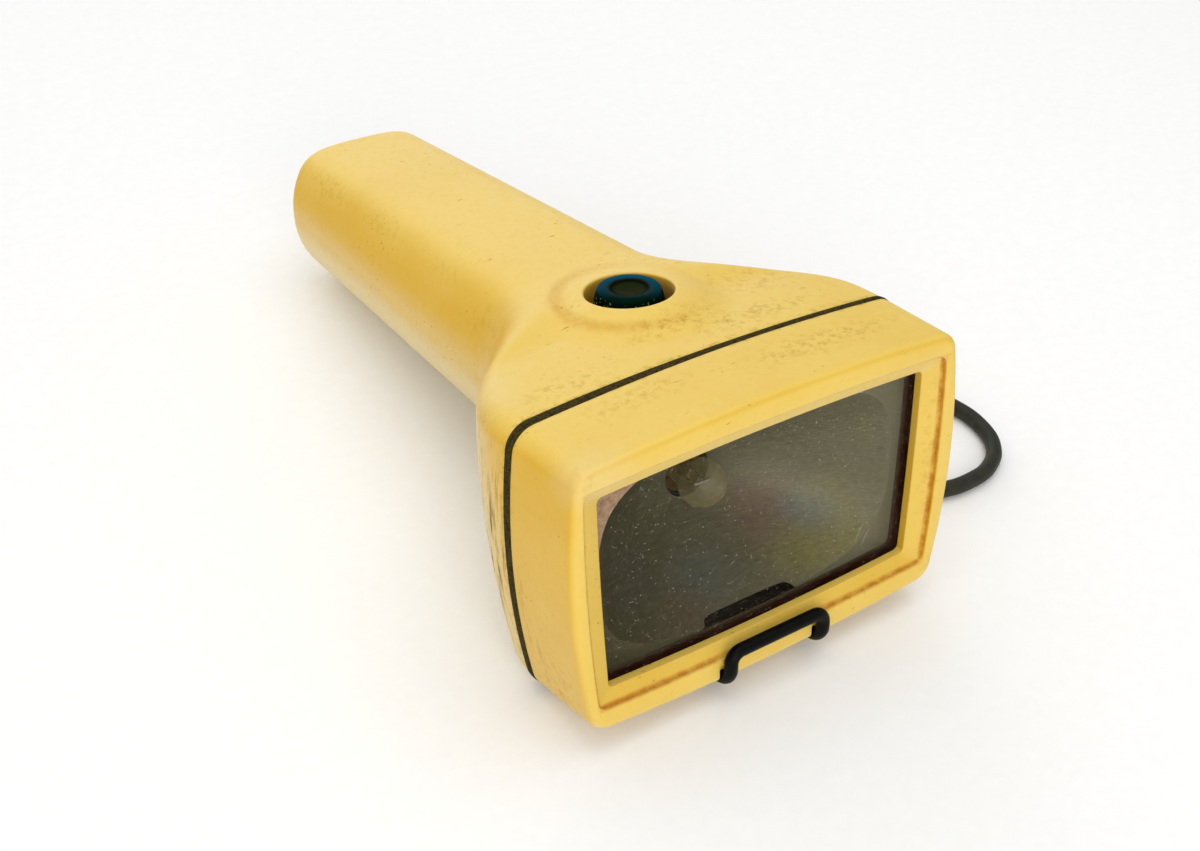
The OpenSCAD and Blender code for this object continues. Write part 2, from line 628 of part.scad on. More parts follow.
// Button, its rubber skirt, the plunger and the switch under it
button_z = recess_rim + button_proud;
cap_low = button_z - button_t;
cap_round = 1.2;
cap_taper = 0.8;
cap_dish_r = 6.2;
cap_dish = 1;
skirt_ring_t = 1;
skirt_t = 0.9;
skirt_r = button_r - 1.6;
plunger_low = boss_z - barrel_l + 3.9;
collar_r = plunger_r + 2.2;
collar_t = 1.5;
barrel_top_t = 2.5;
barrel_bore = collar_r + move_gap;
barrel_low = boss_z - barrel_l;
base_t = 2.5;
spring_wire = 0.4;
module on_button() translate([0, button_y, 0]) children();
module button_cap() color("darkslategray") on_button() difference() {
    union() {
        translate([0, 0, cap_low]) cylinder(r1 = button_r, r2 = button_r - cap_taper, h = button_t - cap_round);
        translate([0, 0, button_z - cap_round]) rotate_extrude() {
            square([button_r - cap_taper - cap_round, cap_round]);
            intersection() {
                translate([button_r - cap_taper - cap_round, 0]) circle(r = cap_round);
                square([button_r, cap_round]);
            }
        }
    }
    cap_ball = (cap_dish_r * cap_dish_r + cap_dish * cap_dish) / (2 * cap_dish);
    translate([0, 0, button_z - cap_dish + cap_ball]) sphere(r = cap_ball);
}
module button_skirt() color("darkslategray") on_button() rotate_extrude()
    translate([skirt_r - skirt_t, recess_z + skirt_ring_t + 2 * touch_gap])
        square([skirt_t, cap_low - recess_z - skirt_ring_t - 3 * touch_gap]);
module skirt_ring() color("darkslategray") on_button() translate([0, 0, recess_z + touch_gap]) difference() {
    cylinder(r = recess_r - fit_gap, h = skirt_ring_t);
    translate([0, 0, -over]) cylinder(r = plunger_r + move_gap, h = skirt_ring_t + 2 * over);
}
module switch_plunger() color("ivory") on_button() {
    translate([0, 0, plunger_low]) cylinder(r = plunger_r, h = cap_low - touch_gap - plunger_low);
    translate([0, 0, boss_z - barrel_top_t - touch_gap - collar_t]) cylinder(r = collar_r, h = collar_t);
}
module switch_housing() color("dimgray") on_button() difference() {
    union() {
        translate([0, 0, barrel_low]) cylinder(r = barrel_r, h = barrel_l - touch_gap);
        translate([0, 0, boss_z - barrel_top_t])
            for (side = [-1, 1]) {
                translate([0, side * switch_screw_y, 0]) cylinder(r = boss_r, h = barrel_top_t - touch_gap);
                box([-boss_r, min(0, side * switch_screw_y), 0], [boss_r, max(0, side * switch_screw_y),
                     barrel_top_t - touch_gap]);
            }
    }
    translate([0, 0, barrel_low - over]) cylinder(r = barrel_bore, h = barrel_l - barrel_top_t + over);
    translate([0, 0, barrel_low - over]) cylinder(r = plunger_r + run_gap, h = barrel_l + 2 * over);
    for (side = [-1, 1])
        translate([0, side * switch_screw_y, barrel_low])
            cylinder(r = switch_screw_r + fit_gap, h = barrel_l + over);
}
module switch_screws() color("silver") on_button() for (side = [-1, 1])
    translate([0, side * switch_screw_y, boss_z - barrel_top_t]) {
        translate([0, 0, -touch_gap - screw_head_t]) cylinder(r = screw_head_r, h = screw_head_t);
        translate([0, 0, -touch_gap]) cylinder(r = switch_screw_r - touch_gap, h = screw_l);
    }
module switch_base() color("sienna") on_button() {
    translate([0, 0, barrel_low - touch_gap - base_t]) cylinder(r = barrel_r, h = base_t);
    translate([0, 0, barrel_low - 2 * touch_gap]) cylinder(r = plunger_r - over, h = spring_wire);
}

// A round coil of wire: one unbroken tube on a helix that may narrow, with flat closing turns
coil_sides = 6;
coil_steps = 8;
function coil_point(t, turns, r1, r2, length) =
    let (a = 360 * turns * t, r = mix(r1, r2, t)) [r * cos(a), r * sin(a), length * t];
module coil(turns, r1, r2, length, wire) {
    count = ceil(turns * coil_steps);
    skin([for (k = [0:count])
        let (p = coil_point(k / count, turns, r1, r2, length), a = 360 * turns * k / count,
             rise = length / (360 * turns * PI / 180 * (r1 + r2) / 2),
             out = [cos(a), sin(a), 0], way = unit([-sin(a), cos(a), rise]), up = cross(out, way))
        [for (i = [0:coil_sides - 1]) let (b = 360 * i / coil_sides)
            p + wire * (cos(b) * out + sin(b) * up)]]);
}
switch_turns = 4.5;
spring_room = boss_z - barrel_top_t - 2 * touch_gap - collar_t - barrel_low;
module switch_spring() color("silver") on_button() translate([0, 0, barrel_low + spring_wire + touch_gap])
    coil(switch_turns, plunger_r + 2 * spring_wire + touch_gap, plunger_r + 2 * spring_wire + touch_gap,
         spring_room - 2 * spring_wire - 3 * touch_gap, spring_wire);
tail_turns = 4.5;
tail_wire = 0.7;
module tail_spring() color("silver")
    translate([0, plate_front - tail_wire - touch_gap, cell_z]) rotate([90, 0, 0])
        coil(tail_turns, cell_r - 4, plunger_r + 2, tail_spring_l - 2 * tail_wire - 3 * touch_gap, tail_wire);
echo(least_coil_gap = [
    (spring_room - 2 * spring_wire) / switch_turns - 2 * spring_wire,
    norm([tail_spring_l - 2 * tail_wire, cell_r - 6 - plunger_r]) / tail_turns - 2 * tail_wire]);

// Contacts, bulkhead and cells
strip_w = 6;
contact_gap = 1.5;
leaf_y = base_rear + tip_l + touch_gap;
leaf_top = barrel_low - 2 * touch_gap - base_t;
module bent_strip(points) translate([strip_w / 2, 0, 0]) rotate([90, 0, -90]) mirror([1, 0, 0])
    linear_extrude(strip_w) polygon(points);
leaf_end = button_y - contact_gap;
module bulb_leaf() color("goldenrod") {
    box([-strip_w / 2, leaf_y, -tip_r], [strip_w / 2, leaf_y + sheet_t, leaf_top]);
    box([-strip_w / 2, min(leaf_y, leaf_end - strip_w), leaf_top - sheet_t],
        [strip_w / 2, max(leaf_y + sheet_t, leaf_end), leaf_top]);
}
bulkhead_gap = 0.25;
strip_z = 1.5;
module cell_bulkhead() color("darkslategray") difference() {
    plate(bulkhead_y, bulkhead_y + bulkhead_t,
          outline(body_section(bulkhead_y + bulkhead_t), wall + bulkhead_gap));
    translate([0, 0, cell_z]) along_y(bulkhead_y - over, bulkhead_y + bulkhead_t + over, rivet_r + touch_gap);
    box([-strip_w / 2 - move_gap, bulkhead_y - over, strip_z - move_gap],
        [strip_w / 2 + move_gap, bulkhead_y + bulkhead_t + over, strip_z + sheet_t + move_gap]);
}
rivet_r = 2;
contact_r = 6;
feed_rear = bulkhead_y - touch_gap;
module positive_contact() color("goldenrod") {
    translate([0, 0, cell_z]) {
        along_y(bulkhead_y + bulkhead_t + touch_gap, cells_front - touch_gap, contact_r);
        along_y(feed_rear - sheet_t / 2, bulkhead_y + bulkhead_t + contact_t / 2, rivet_r);
    }
    bent_strip([[feed_rear, cell_z + rivet_r + over], [feed_rear - sheet_t, cell_z + rivet_r + over],
        [feed_rear - sheet_t, leaf_top], [button_y + contact_gap, leaf_top],
        [button_y + contact_gap, leaf_top - sheet_t], [feed_rear, leaf_top - sheet_t]]);
}
cap_r = 4.7;
cap_l = 1.8;
module cell(front) translate([0, 0, cell_z]) {
    along_y(front, front + cap_l + over, cap_r);
    translate([0, front + cell_l, 0]) rotate([90, 0, 0]) rotate_extrude() difference() {
        square([cell_r, cell_l - cap_l]);
        translate([cell_r - over, cell_l - cap_l - over]) difference() {
            square(2 * over);
            circle(r = over);
        }
    }
}
module front_cell() color("slategray") cell(cells_front);
module rear_cell() color("slategray") cell(cells_mid + touch_gap);
module tail_plate() color("gainsboro")
    translate([0, 0, cell_z]) along_y(plate_front, tail_inner - touch_gap, cell_r - 2);
strip_rear = plate_front - touch_gap;
strip_front = holder_rear - ring_l;
ring_low = -holder_r - 2 * touch_gap - ring_t;
strip_bend = bulkhead_y - 8;
module return_strip() color("gainsboro") bent_strip([
    [strip_rear, strip_z], [strip_rear, cell_z - plunger_r * 2], [strip_rear - sheet_t, cell_z - plunger_r * 2],
    [strip_rear - sheet_t, strip_z + sheet_t], [strip_bend, strip_z + sheet_t],
    [holder_rear + ring_l, ring_low], [strip_front, ring_low], [strip_front, ring_low - sheet_t],
    [holder_rear + ring_l, ring_low - sheet_t], [strip_bend, strip_z]]);

// Lanyard: a closed wrist loop whose ends sit in the two sockets, laid beside the torch.
// Its points are [x, y, height of the cord's underside] on the surface that the torch lies on.
lanyard_route = [
    [39, 177, 0.3], [44, 172, 0], [46, 164, 0], [46, 153, 0], [45, 140, 0], [45, 125, 0],
    [46, 110, 0], [48, 95, 0], [51, 80, 0], [56, 65, 0], [62, 50, 0], [68, 35, 0],
    [74, 21, 0], [81, 8, 0], [88, 0, 0], [97, -4, 0], [108, -5, 0], [118, -3, 0],
    [127, 4, 0], [131, 15, 0], [130, 26, 0], [125, 38, 0], [117, 49, 0], [107, 60, 0], [96, 71, 0],
    [86, 83, 0], [77, 96, 0], [70, 110, 0], [65, 125, 0], [61, 140, 0], [58, 155, 0], [55, 167, 0],
    [51, 177, 0], [46, 184, 0], [39, 188, 0.2]];
cord_sides = 10;
function laid(p) =
    let (q = p - [0, rest_head[0], rest_head[1]])
    [q[0], q[1] * cos(rest_tilt) + q[2] * sin(rest_tilt), q[2] * cos(rest_tilt) - q[1] * sin(rest_tilt)];
function socket_way(depth) = depth * [cos(socket_angle), 0, -sin(socket_angle)];
cord_in = socket_l - 1;
cord_out = 12;
cord_path = concat(
    [for (d = [-cord_in, 0, cord_out]) laid(socket_mouth(socket_y[0]) + socket_way(d))],
    [for (p = lanyard_route) [p[0], p[1], p[2] + cord_r]],
    [for (d = [cord_out, 0, -cord_in]) laid(socket_mouth(socket_y[1]) + socket_way(d))]);
module lanyard_cord() color("darkslategray") tube(cord_path, cord_r, cord_sides, [0, 0, 1]);

lay() body_shell();
lay() front_bezel();
lay() seal_gasket();
lay() lens();
lay() lens_seal();
lay() reflector();
lay() reflector_screws();
lay() bulb_glass();
lay() bulb_base();
lay() bulb_filament();
lay() bulb_holder();
lay() holder_ring();
lay() bail();
lay() button_cap();
lay() button_skirt();
lay() skirt_ring();
lay() switch_plunger();
lay() switch_spring();
lay() switch_housing();
lay() switch_base();
lay() switch_screws();
lay() bulb_leaf();
lay() cell_bulkhead();
lay() positive_contact();
lay() front_cell();
lay() rear_cell();
lay() tail_spring();
lay() tail_plate();
lay() return_strip();
lanyard_cord();
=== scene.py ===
import math

import bpy
from mathutils import Matrix, Vector


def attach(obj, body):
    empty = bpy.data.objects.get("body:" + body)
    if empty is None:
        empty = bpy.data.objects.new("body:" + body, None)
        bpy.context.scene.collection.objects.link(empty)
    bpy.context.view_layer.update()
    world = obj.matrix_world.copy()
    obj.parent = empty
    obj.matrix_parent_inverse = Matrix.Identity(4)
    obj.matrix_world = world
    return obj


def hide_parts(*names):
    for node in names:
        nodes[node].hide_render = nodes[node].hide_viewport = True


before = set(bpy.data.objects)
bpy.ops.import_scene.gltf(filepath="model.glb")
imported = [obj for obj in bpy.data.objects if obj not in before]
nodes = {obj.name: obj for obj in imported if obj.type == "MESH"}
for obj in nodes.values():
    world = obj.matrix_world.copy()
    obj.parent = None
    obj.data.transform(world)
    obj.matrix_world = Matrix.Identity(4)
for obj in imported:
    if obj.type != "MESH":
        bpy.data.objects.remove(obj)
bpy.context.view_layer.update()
print("stage: frame loaded")

# The torch is drawn in millimetres along its own beam axis and laid down on its two flats
perMetre = 1000
rest = dict(tilt=math.radians(10.8857), y=36.0, z=-40.6102)
layDown = (Matrix.Rotation(-rest["tilt"], 4, "X")
           @ Matrix.Translation((0, -rest["y"] / perMetre, -rest["z"] / perMetre)) @ Matrix.Scale(1 / perMetre, 4))


def toFrame(p):
    return layDown @ Vector(p)


def mix(a, b, t):
    return a + (b - a) * t


def ease(t):
    t = min(max(t, 0.0), 1.0)
    return t * t * (3 - 2 * t)


def softMin(a, b, k):
    h = max(k - abs(a - b), 0) / k
    return min(a, b) - h * h * k / 4


# Angles of a quarter turn in equal steps
def quarter(count):
    return [math.pi / 2 * k / count for k in range(count + 1)]


# Sizes of the housing, in millimetres
handle = dict(tail=230, neck=110, tailWidth=55, neckWidth=64.6, tailDrop=5, neckDrop=13.7, topCrown=0.9, lowCrown=0.3,
              roundness=0.96, flat=43.6, flatBlend=6)
flare = dict(side=96, sideLength=65, low=106, lowLength=80, topPace=1.5, lean=0.04, leanPeak=12)
head = dict(w=123.6, top=41, low=40, topCrown=2.8, lowCrown=2.4, sideCrown=4, lean=0.026, r=5.8, leastRound=0.8,
            draft=1.0, rim=2.3, lift=5, seam=27.55, front=28.8, bezelLength=26.3)
smoothAngle = dict(plain=38, housing=34, rubber=50)


def bodySection(y):
    share = (handle["tail"] - y) / (handle["tail"] - handle["neck"])
    half = mix(handle["tailWidth"], handle["neckWidth"], share) / 2
    low = -mix(handle["tailDrop"], handle["neckDrop"], share)
    wide, deep = ease((flare["side"] - y) / flare["sideLength"]), ease((flare["low"] - y) / flare["lowLength"])
    high = ease(flare["topPace"] * wide)
    turned = handle["roundness"] * half
    return dict(
        w=mix(half, head["w"] / 2, wide), top=mix(low + 2 * half, head["top"], high),
        low=mix(low, -head["low"], deep), topCrown=mix(handle["topCrown"], head["topCrown"], wide),
        lowCrown=mix(handle["lowCrown"], head["lowCrown"], deep), sideCrown=head["sideCrown"] * wide,
        lean=head["lean"] * wide + flare["lean"] * flare["leanPeak"] * wide ** 4 * (1 - wide),
        topRound=mix(turned, head["r"], high), lowRound=mix(turned, head["r"], wide ** 3),
        flat=mix(handle["flat"], head["top"] + head["lift"], wide))


# How many points a section has along a side, a corner, the top and the bottom
denseCounts = (60, 60, 160, 120)
frontCounts = (24, 14, 40, 40)


def rounded(w, top, low, rt, rb, counts):
    side, corner, upper, lower = counts
    turn = quarter(corner)[:-1]
    out = [(w, mix(low + rb, top - rt, i / side)) for i in range(side)]
    out += [(w - rt + rt * math.cos(a), top - rt + rt * math.sin(a)) for a in turn]
    out += [(mix(w - rt, rt - w, i / upper), top) for i in range(upper)]
    out += [(rt - w - rt * math.sin(a), top - rt + rt * math.cos(a)) for a in turn]
    out += [(-w, mix(top - rt, low + rb, i / side)) for i in range(side)]
    out += [(rb - w - rb * math.cos(a), low + rb - rb * math.sin(a)) for a in turn]
    out += [(mix(rb - w, w - rb, i / lower), low) for i in range(lower)]
    out += [(w - rb + rb * math.sin(a), low + rb - rb * math.cos(a)) for a in turn]
    return out


def outline(s, y, inset, counts=frontCounts):
    w, top, low = s["w"] - inset, s["top"] - inset, s["low"] + inset
    middle, half = (top + low) / 2, (top - low) / 2
    rt, rb = (max(head["leastRound"], s[key] - inset) for key in ("topRound", "lowRound"))
    out = []
    for px, pz in rounded(w, top, low, rt, rb, counts):
        u, v = px / w, (pz - middle) / half
        z = softMin(pz, s["flat"] - inset, handle["flatBlend"]) if "flat" in s else pz
        out.append((px * (1 + s["lean"] * v) + s["sideCrown"] * u * (1 - v * v), y,
                    z + (s["topCrown"] if v > 0 else s["lowCrown"]) * v * (1 - u * u)))
    return out


def ring(y, inset=0.0, counts=frontCounts):
    draft = head["draft"] * max(0, 1 - y / head["seam"])
    return outline(bodySection(max(y, head["seam"])), y, inset + draft, counts)


# The seam is narrower from the middle of the head to its right
seamCut = dict(edge=0.4, seal=0.3, start=-50, length=60)


def seamNarrow(x):
    return ease((x - seamCut["start"]) / seamCut["length"])


def seamEdge(row, way):
    return [(px, py + way * seamCut["edge"] * seamNarrow(px), pz) for px, py, pz in row]


# A ring whose points are spread by length and by turn, from the top middle down each side
halfCount = 200
byLength, byTurn = 0.65, 0.35


def evenRing(y, inset=0.0):
    dense = ring(y, inset, denseCounts)
    side, corner, upper, lower = denseCounts
    topMiddle = side + corner + upper // 2
    lowMiddle = 2 * side + 3 * corner + upper + lower // 2
    half = [Vector(p) for p in (dense[lowMiddle:] + dense[:topMiddle + 1])][::-1]
    steps = [(b - a) for a, b in zip(half, half[1:])]
    lengths = [s.length for s in steps]
    turns = [0.0] + [a.angle(b, 0.0) for a, b in zip(steps, steps[1:])]
    whole, bend = sum(lengths), sum(turns)
    reach = [0.0]
    for far, turn in zip(lengths, turns):
        reach.append(reach[-1] + byLength * far / whole + byTurn * turn / bend)
    out, k = [], 0
    for i in range(halfCount + 1):
        want = i / halfCount * reach[-1]
        while k < len(reach) - 2 and reach[k + 1] < want:
            k += 1
        share = (want - reach[k]) / max(reach[k + 1] - reach[k], 1e-12)
        out.append(half[k].lerp(half[k + 1], min(max(share, 0), 1)))
    out[0].x = out[-1].x = 0.0
    return [tuple(p) for p in out] + [(-p.x, p.y, p.z) for p in reversed(out[1:-1])]


# Height of the housing's upper skin over a point; the section's own x is found by repeated steps
def topHeight(x, y):
    s = bodySection(y)
    top, r = s["top"], s["topRound"]
    middle, half = (top + s["low"]) / 2, (top - s["low"]) / 2
    px = x
    for _ in range(8):
        inner = abs(px) - (s["w"] - r)
        pz = top if inner <= 0 else top - r + math.sqrt(max(r ** 2 - inner ** 2, 0))
        u, v = px / s["w"], (pz - middle) / half
        px = (x - s["sideCrown"] * u * (1 - v * v)) / (1 + s["lean"] * v)
    return softMin(pz, s["flat"], handle["flatBlend"]) + s["topCrown"] * v * (1 - u * u)


# Meshes
def placed(name, data):
    piece = bpy.data.objects.new(name, data)
    bpy.context.scene.collection.objects.link(piece)
    return piece


def choose(piece):
    if bpy.context.mode != "OBJECT":
        bpy.ops.object.mode_set(mode="OBJECT")
    bpy.ops.object.select_all(action="DESELECT")
    piece.select_set(True)
    bpy.context.view_layer.objects.active = piece


def tidyMesh(piece, angle=smoothAngle["plain"], merge=1e-6):
    choose(piece)
    bpy.ops.object.mode_set(mode="EDIT")
    bpy.ops.mesh.select_all(action="SELECT")
    bpy.ops.mesh.remove_doubles(threshold=merge)
    bpy.ops.mesh.normals_make_consistent(inside=False)
    bpy.ops.object.mode_set(mode="OBJECT")
    bpy.ops.object.shade_smooth_by_angle(angle=math.radians(angle))
    return piece


def meshPiece(name, points, faces, angle=smoothAngle["plain"]):
    mesh = bpy.data.meshes.new(name)
    mesh.from_pydata([toFrame(p) for p in points], [], faces)
    return tidyMesh(placed(name, mesh), angle)


# Quads between rings of equal counts
def skinFaces(rows, n, loop=False):
    faces = []
    for j in range(rows if loop else rows - 1):
        a, b = j * n, ((j + 1) % rows) * n
        for i in range(n):
            c = (i + 1) % n
            faces.append((a + i, a + c, b + c, b + i))
    return faces


# A closed tube of rings, the last joined to the first
def ringPiece(name, rows, angle):
    return meshPiece(name, [p for row in rows for p in row], skinFaces(len(rows), len(rows[0]), loop=True), angle)


# The profile is radius and height pairs round an axis of the torch
def spun(name, profile, steps, at=(0, 0, 0), axis=(0, 0, 1)):
    mesh = bpy.data.meshes.new(name)
    side = Vector(axis).orthogonal().normalized()
    spots = [Vector(at) + side * r + Vector(axis) * h for r, h in profile]
    mesh.from_pydata(spots, [(k, k + 1) for k in range(len(spots) - 1)], [])
    piece = placed(name, mesh)
    choose(piece)
    bpy.ops.object.mode_set(mode="EDIT")
    bpy.ops.mesh.select_all(action="SELECT")
    bpy.ops.mesh.spin(steps=steps, angle=2 * math.pi, center=at, axis=axis)
    bpy.ops.object.mode_set(mode="OBJECT")
    mesh.transform(layDown)
    return tidyMesh(piece, merge=2e-6)


def boxPiece(name, low, high):
    bpy.ops.object.select_all(action="DESELECT")
    bpy.ops.mesh.primitive_cube_add(size=1)
    piece = bpy.context.active_object
    piece.name = name
    size, middle = Vector(high) - Vector(low), (Vector(high) + Vector(low)) / 2
    piece.data.transform(Matrix.Translation(middle) @ Matrix.Diagonal((*size, 1)))
    piece.data.transform(layDown)
    return piece


def cutWith(piece, tool, way="DIFFERENCE"):
    choose(piece)
    change = piece.modifiers.new("cut", "BOOLEAN")
    change.operation, change.object, change.solver = way, tool, "EXACT"
    bpy.ops.object.modifier_apply(modifier=change.name)
    bpy.data.objects.remove(tool)


def tubePiece(name, spots, radius):
    line = bpy.data.curves.new(name, "CURVE")
    line.dimensions = "3D"
    line.bevel_depth, line.bevel_resolution, line.use_fill_caps = radius, 8, True
    run = line.splines.new("POLY")
    run.points.add(len(spots) - 1)
    for k, p in enumerate(spots):
        run.points[k].co = (*p, 1)
    choose(placed(name, line))
    bpy.ops.object.convert(target="MESH")
    return tidyMesh(bpy.context.active_object, smoothAngle["rubber"])


# What would reach below the floor is pressed flat on it
def pressFlat(piece):
    for v in piece.data.vertices:
        v.co.z = max(v.co.z, 0.0)


# Materials
def linear(hexText):
    parts = [int(hexText[k:k + 2], 16) / 255 for k in (0, 2, 4)]
    return tuple(c / 12.92 if c <= 0.04045 else ((c + 0.055) / 1.055) ** 2.4 for c in parts) + (1.0,)


# Sets a node's inputs, each by a link or by a value
def fill(tree, node, inputs):
    for key, value in inputs.items():
        if isinstance(value, bpy.types.NodeSocket):
            tree.links.new(value, node.inputs[key])
        else:
            node.inputs[key].default_value = value


# Gives back one output of the new node, or all of them where out is None
def addNode(tree, kind, inputs=None, out=0, **settings):
    node = tree.nodes.new("ShaderNode" + kind)
    for key, value in settings.items():
        setattr(node, key, value)
    fill(tree, node, inputs or {})
    return node.outputs if out is None else node.outputs[out]


def dress(piece, made):
    piece.data.materials.clear()
    piece.data.materials.append(made)


def newMaterial(name):
    made = bpy.data.materials.new(name)
    made.use_nodes = True
    return made, made.node_tree, made.node_tree.nodes["Principled BSDF"]


# Object coordinates turned back to the torch's own axes, in millimetres
def torchPoint(tree):
    return addNode(tree, "Mapping", {
        "Vector": addNode(tree, "TexCoord", out="Object"), "Location": (0, rest["y"], rest["z"]),
        "Rotation": (rest["tilt"], 0, 0), "Scale": (perMetre, perMetre, perMetre)})


# A soft patch round a place on the torch, broken up by noise
def smudge(tree, at, grit, place, reach, strength):
    near = addNode(tree, "Mapping", {
        "Vector": at, "Location": [-p / r for p, r in zip(place, reach)], "Scale": [1 / r for r in reach]})
    far = addNode(tree, "VectorMath", {0: near}, out="Value", operation="LENGTH")
    fall = addNode(tree, "MapRange", {"Value": far, "From Min": 1.0, "From Max": 0.1, "To Max": strength},
                   interpolation_type="SMOOTHSTEP")
    return addNode(tree, "Math", {0: fall, 1: grit}, operation="MULTIPLY")


# Moulded plastic, yellow right through and aged: paler on faces turned up or forward, partly sun fading and partly
# painted sheen, paler on faces turned down as a painted reflection of the floor, with pale patches of painted highlight
# and wear, brown grime worked into its creases, small dark specks and fine scratches
def agedPlastic(name, look):
    made, tree, shader = newMaterial(name)
    at = torchPoint(tree)
    axes = addNode(tree, "SeparateXYZ", {0: at}, out=None)
    normal = addNode(tree, "SeparateXYZ", {0: addNode(tree, "TexCoord", out="Normal")}, out=None)
    ahead = addNode(tree, "Math", {0: normal["Y"], 1: -0.9}, operation="MULTIPLY")
    facing = addNode(tree, "Math", {0: normal["Z"], 1: ahead}, operation="MAXIMUM")
    broad = addNode(tree, "TexNoise", {"Vector": at, "Scale": 0.03, "Detail": 4})
    broad = addNode(tree, "MapRange", {"Value": broad, "From Min": 0.3, "From Max": 0.7,
                                       "To Min": -0.16, "To Max": 0.16})
    fine = addNode(tree, "TexNoise", {"Vector": at, "Scale": 0.4, "Detail": 5, "Roughness": 0.6})
    # Painted sheen, partly sun fading: paler where faces turn up or forward
    fadeAndSheen = addNode(tree, "MapRange", {"Value": facing, "From Min": 0.35, "From Max": 0.93})
    fadeAndSheen = addNode(tree, "Math", {0: fadeAndSheen, 1: broad}, operation="ADD", use_clamp=True)
    # Painted reflection of the white floor: paler where faces turn down
    under = addNode(tree, "MapRange", {"Value": normal["Z"], "From Min": 0.26, "From Max": -0.36,
                                       "To Max": look["floorSheen"]}, interpolation_type="SMOOTHSTEP")
    # Painted highlight, partly wear: pale patches on the flare's side and on the bezel's upper front corner
    rubAndHighlight = smudge(tree, at, 1.0, *look["rubAndHighlight"])
    # Mottling of 2 to 3 mm
    mottle = addNode(tree, "MapRange", {"Value": fine, "From Min": 0.5, "From Max": 0.75, "To Max": 0.1})
    # Specks and dashes, 0.7 mm wide and up to 5 mm long, lying three ways in clusters
    cluster = addNode(tree, "TexNoise", {"Vector": at, "Scale": 0.05, "Detail": 3, "Roughness": 0.6})
    cluster = addNode(tree, "MapRange", {"Value": cluster, "From Min": 0.4, "From Max": 0.62,
                                         "To Min": -0.06, "To Max": 0.05})
    dots = 0.0
    for turn, long in ((0.5, 0.22), (-0.35, 0.3), (1.3, 0.8)):
        lay = addNode(tree, "Mapping", {"Vector": at, "Rotation": (0.3, 0.2, turn), "Scale": (long, 1.1, 1.1)})
        one = addNode(tree, "TexNoise", {"Vector": lay, "Scale": 0.8, "Detail": 2, "Roughness": 0.55})
        dots = addNode(tree, "Math", {0: dots, 1: one}, operation="MAXIMUM")
    dots = addNode(tree, "Math", {0: dots, 1: cluster}, operation="ADD")
    dots = addNode(tree, "MapRange", {"Value": dots, "From Min": 0.728, "From Max": 0.82, "To Max": 0.65})
    # Grime in patches and along the seam
    grit = addNode(tree, "TexNoise", {"Vector": at, "Scale": 0.4, "Detail": 6, "Roughness": 0.72})
    grit = addNode(tree, "MapRange", {"Value": grit, "From Min": 0.48, "From Max": 0.68})
    edge = addNode(tree, "MapRange", {"Value": axes["Y"], "From Min": look["seam"][0], "From Max": look["seam"][1],
                                      "To Max": 0.8})
    grime = addNode(tree, "Math", {0: edge, 1: grit}, operation="MULTIPLY")
    for patch in look["smudges"]:
        grime = addNode(tree, "Math", {0: grime, 1: smudge(tree, at, grit, *patch)}, operation="MAXIMUM")
    share, markTone = look["mark"](tree, at, axes, fine)
    # Upright brown scrapes on the side of the flare, 1.5 mm wide and up to 12 mm long
    lay = addNode(tree, "Mapping", {"Vector": at, "Rotation": (0.25, 0, 0), "Scale": (1.0, 1.0, 0.14)})
    scrape = addNode(tree, "TexNoise", {"Vector": lay, "Scale": 0.5, "Detail": 4, "Roughness": 0.65})
    scrape = addNode(tree, "MapRange", {"Value": scrape, "From Min": 0.5, "From Max": 0.68})
    scrape = smudge(tree, at, scrape, *look["scrape"])
    colour = linear(look["deep"])
    for part, tone in ((fadeAndSheen, look["pale"]), (under, "decfa0"), (rubAndHighlight, "e3d5a8"), (mottle, look["ochre"]),
                       (dots, "8a5c14"), (grime, "a06c16"), (share, markTone), (scrape, "74500f")):
        colour = addNode(tree, "Mix", {0: part, 6: colour, 7: linear(tone)}, out=2, data_type="RGBA")
    # Dirt, and the marks round the button and in the frame, have no gloss
    dull = scrape
    for one in (dots, grime, share):
        dull = addNode(tree, "Math", {0: dull, 1: one}, operation="MAXIMUM")
    dull = addNode(tree, "MapRange", {"Value": dull, "From Max": 0.7, "To Min": 0.5, "To Max": 0.05})
    rough = addNode(tree, "MapRange", {"Value": fine, "From Min": 0.3, "From Max": 0.7, "To Min": 0.4, "To Max": 0.54})
    grain = addNode(tree, "TexNoise", {"Vector": at, "Scale": 1.3, "Detail": 3})
    tall = addNode(tree, "Math", {0: grain, 1: 0.25, 2: fine}, operation="MULTIPLY_ADD")
    bump = addNode(tree, "Bump", {"Height": tall, "Strength": 0.22, "Distance": 0.0003})
    fill(tree, shader, {
        "Base Color": colour, "Specular IOR Level": dull, "Roughness": rough, "Normal": bump, "IOR": 1.5,
        "Subsurface Weight": 0.12, "Subsurface Radius": (1.0, 0.5, 0.15), "Subsurface Scale": 0.003})
    return made


button = dict(y=65.4, dome=21.0, rise=3.7, shift=-4.285, blend=1.4, recess=12.7, floor=38.13, lip=0.9, under=35.73,
              stem=4.1, cupWall=2.4)


# Distance from the button's axis, and the flat point that it is measured from
def fromButton(tree, at):
    flat = addNode(tree, "Mapping", {"Vector": at, "Location": (0, -button["y"], 0), "Scale": (1, 1, 0)})
    return flat, addNode(tree, "VectorMath", {0: flat}, out="Value", operation="LENGTH")
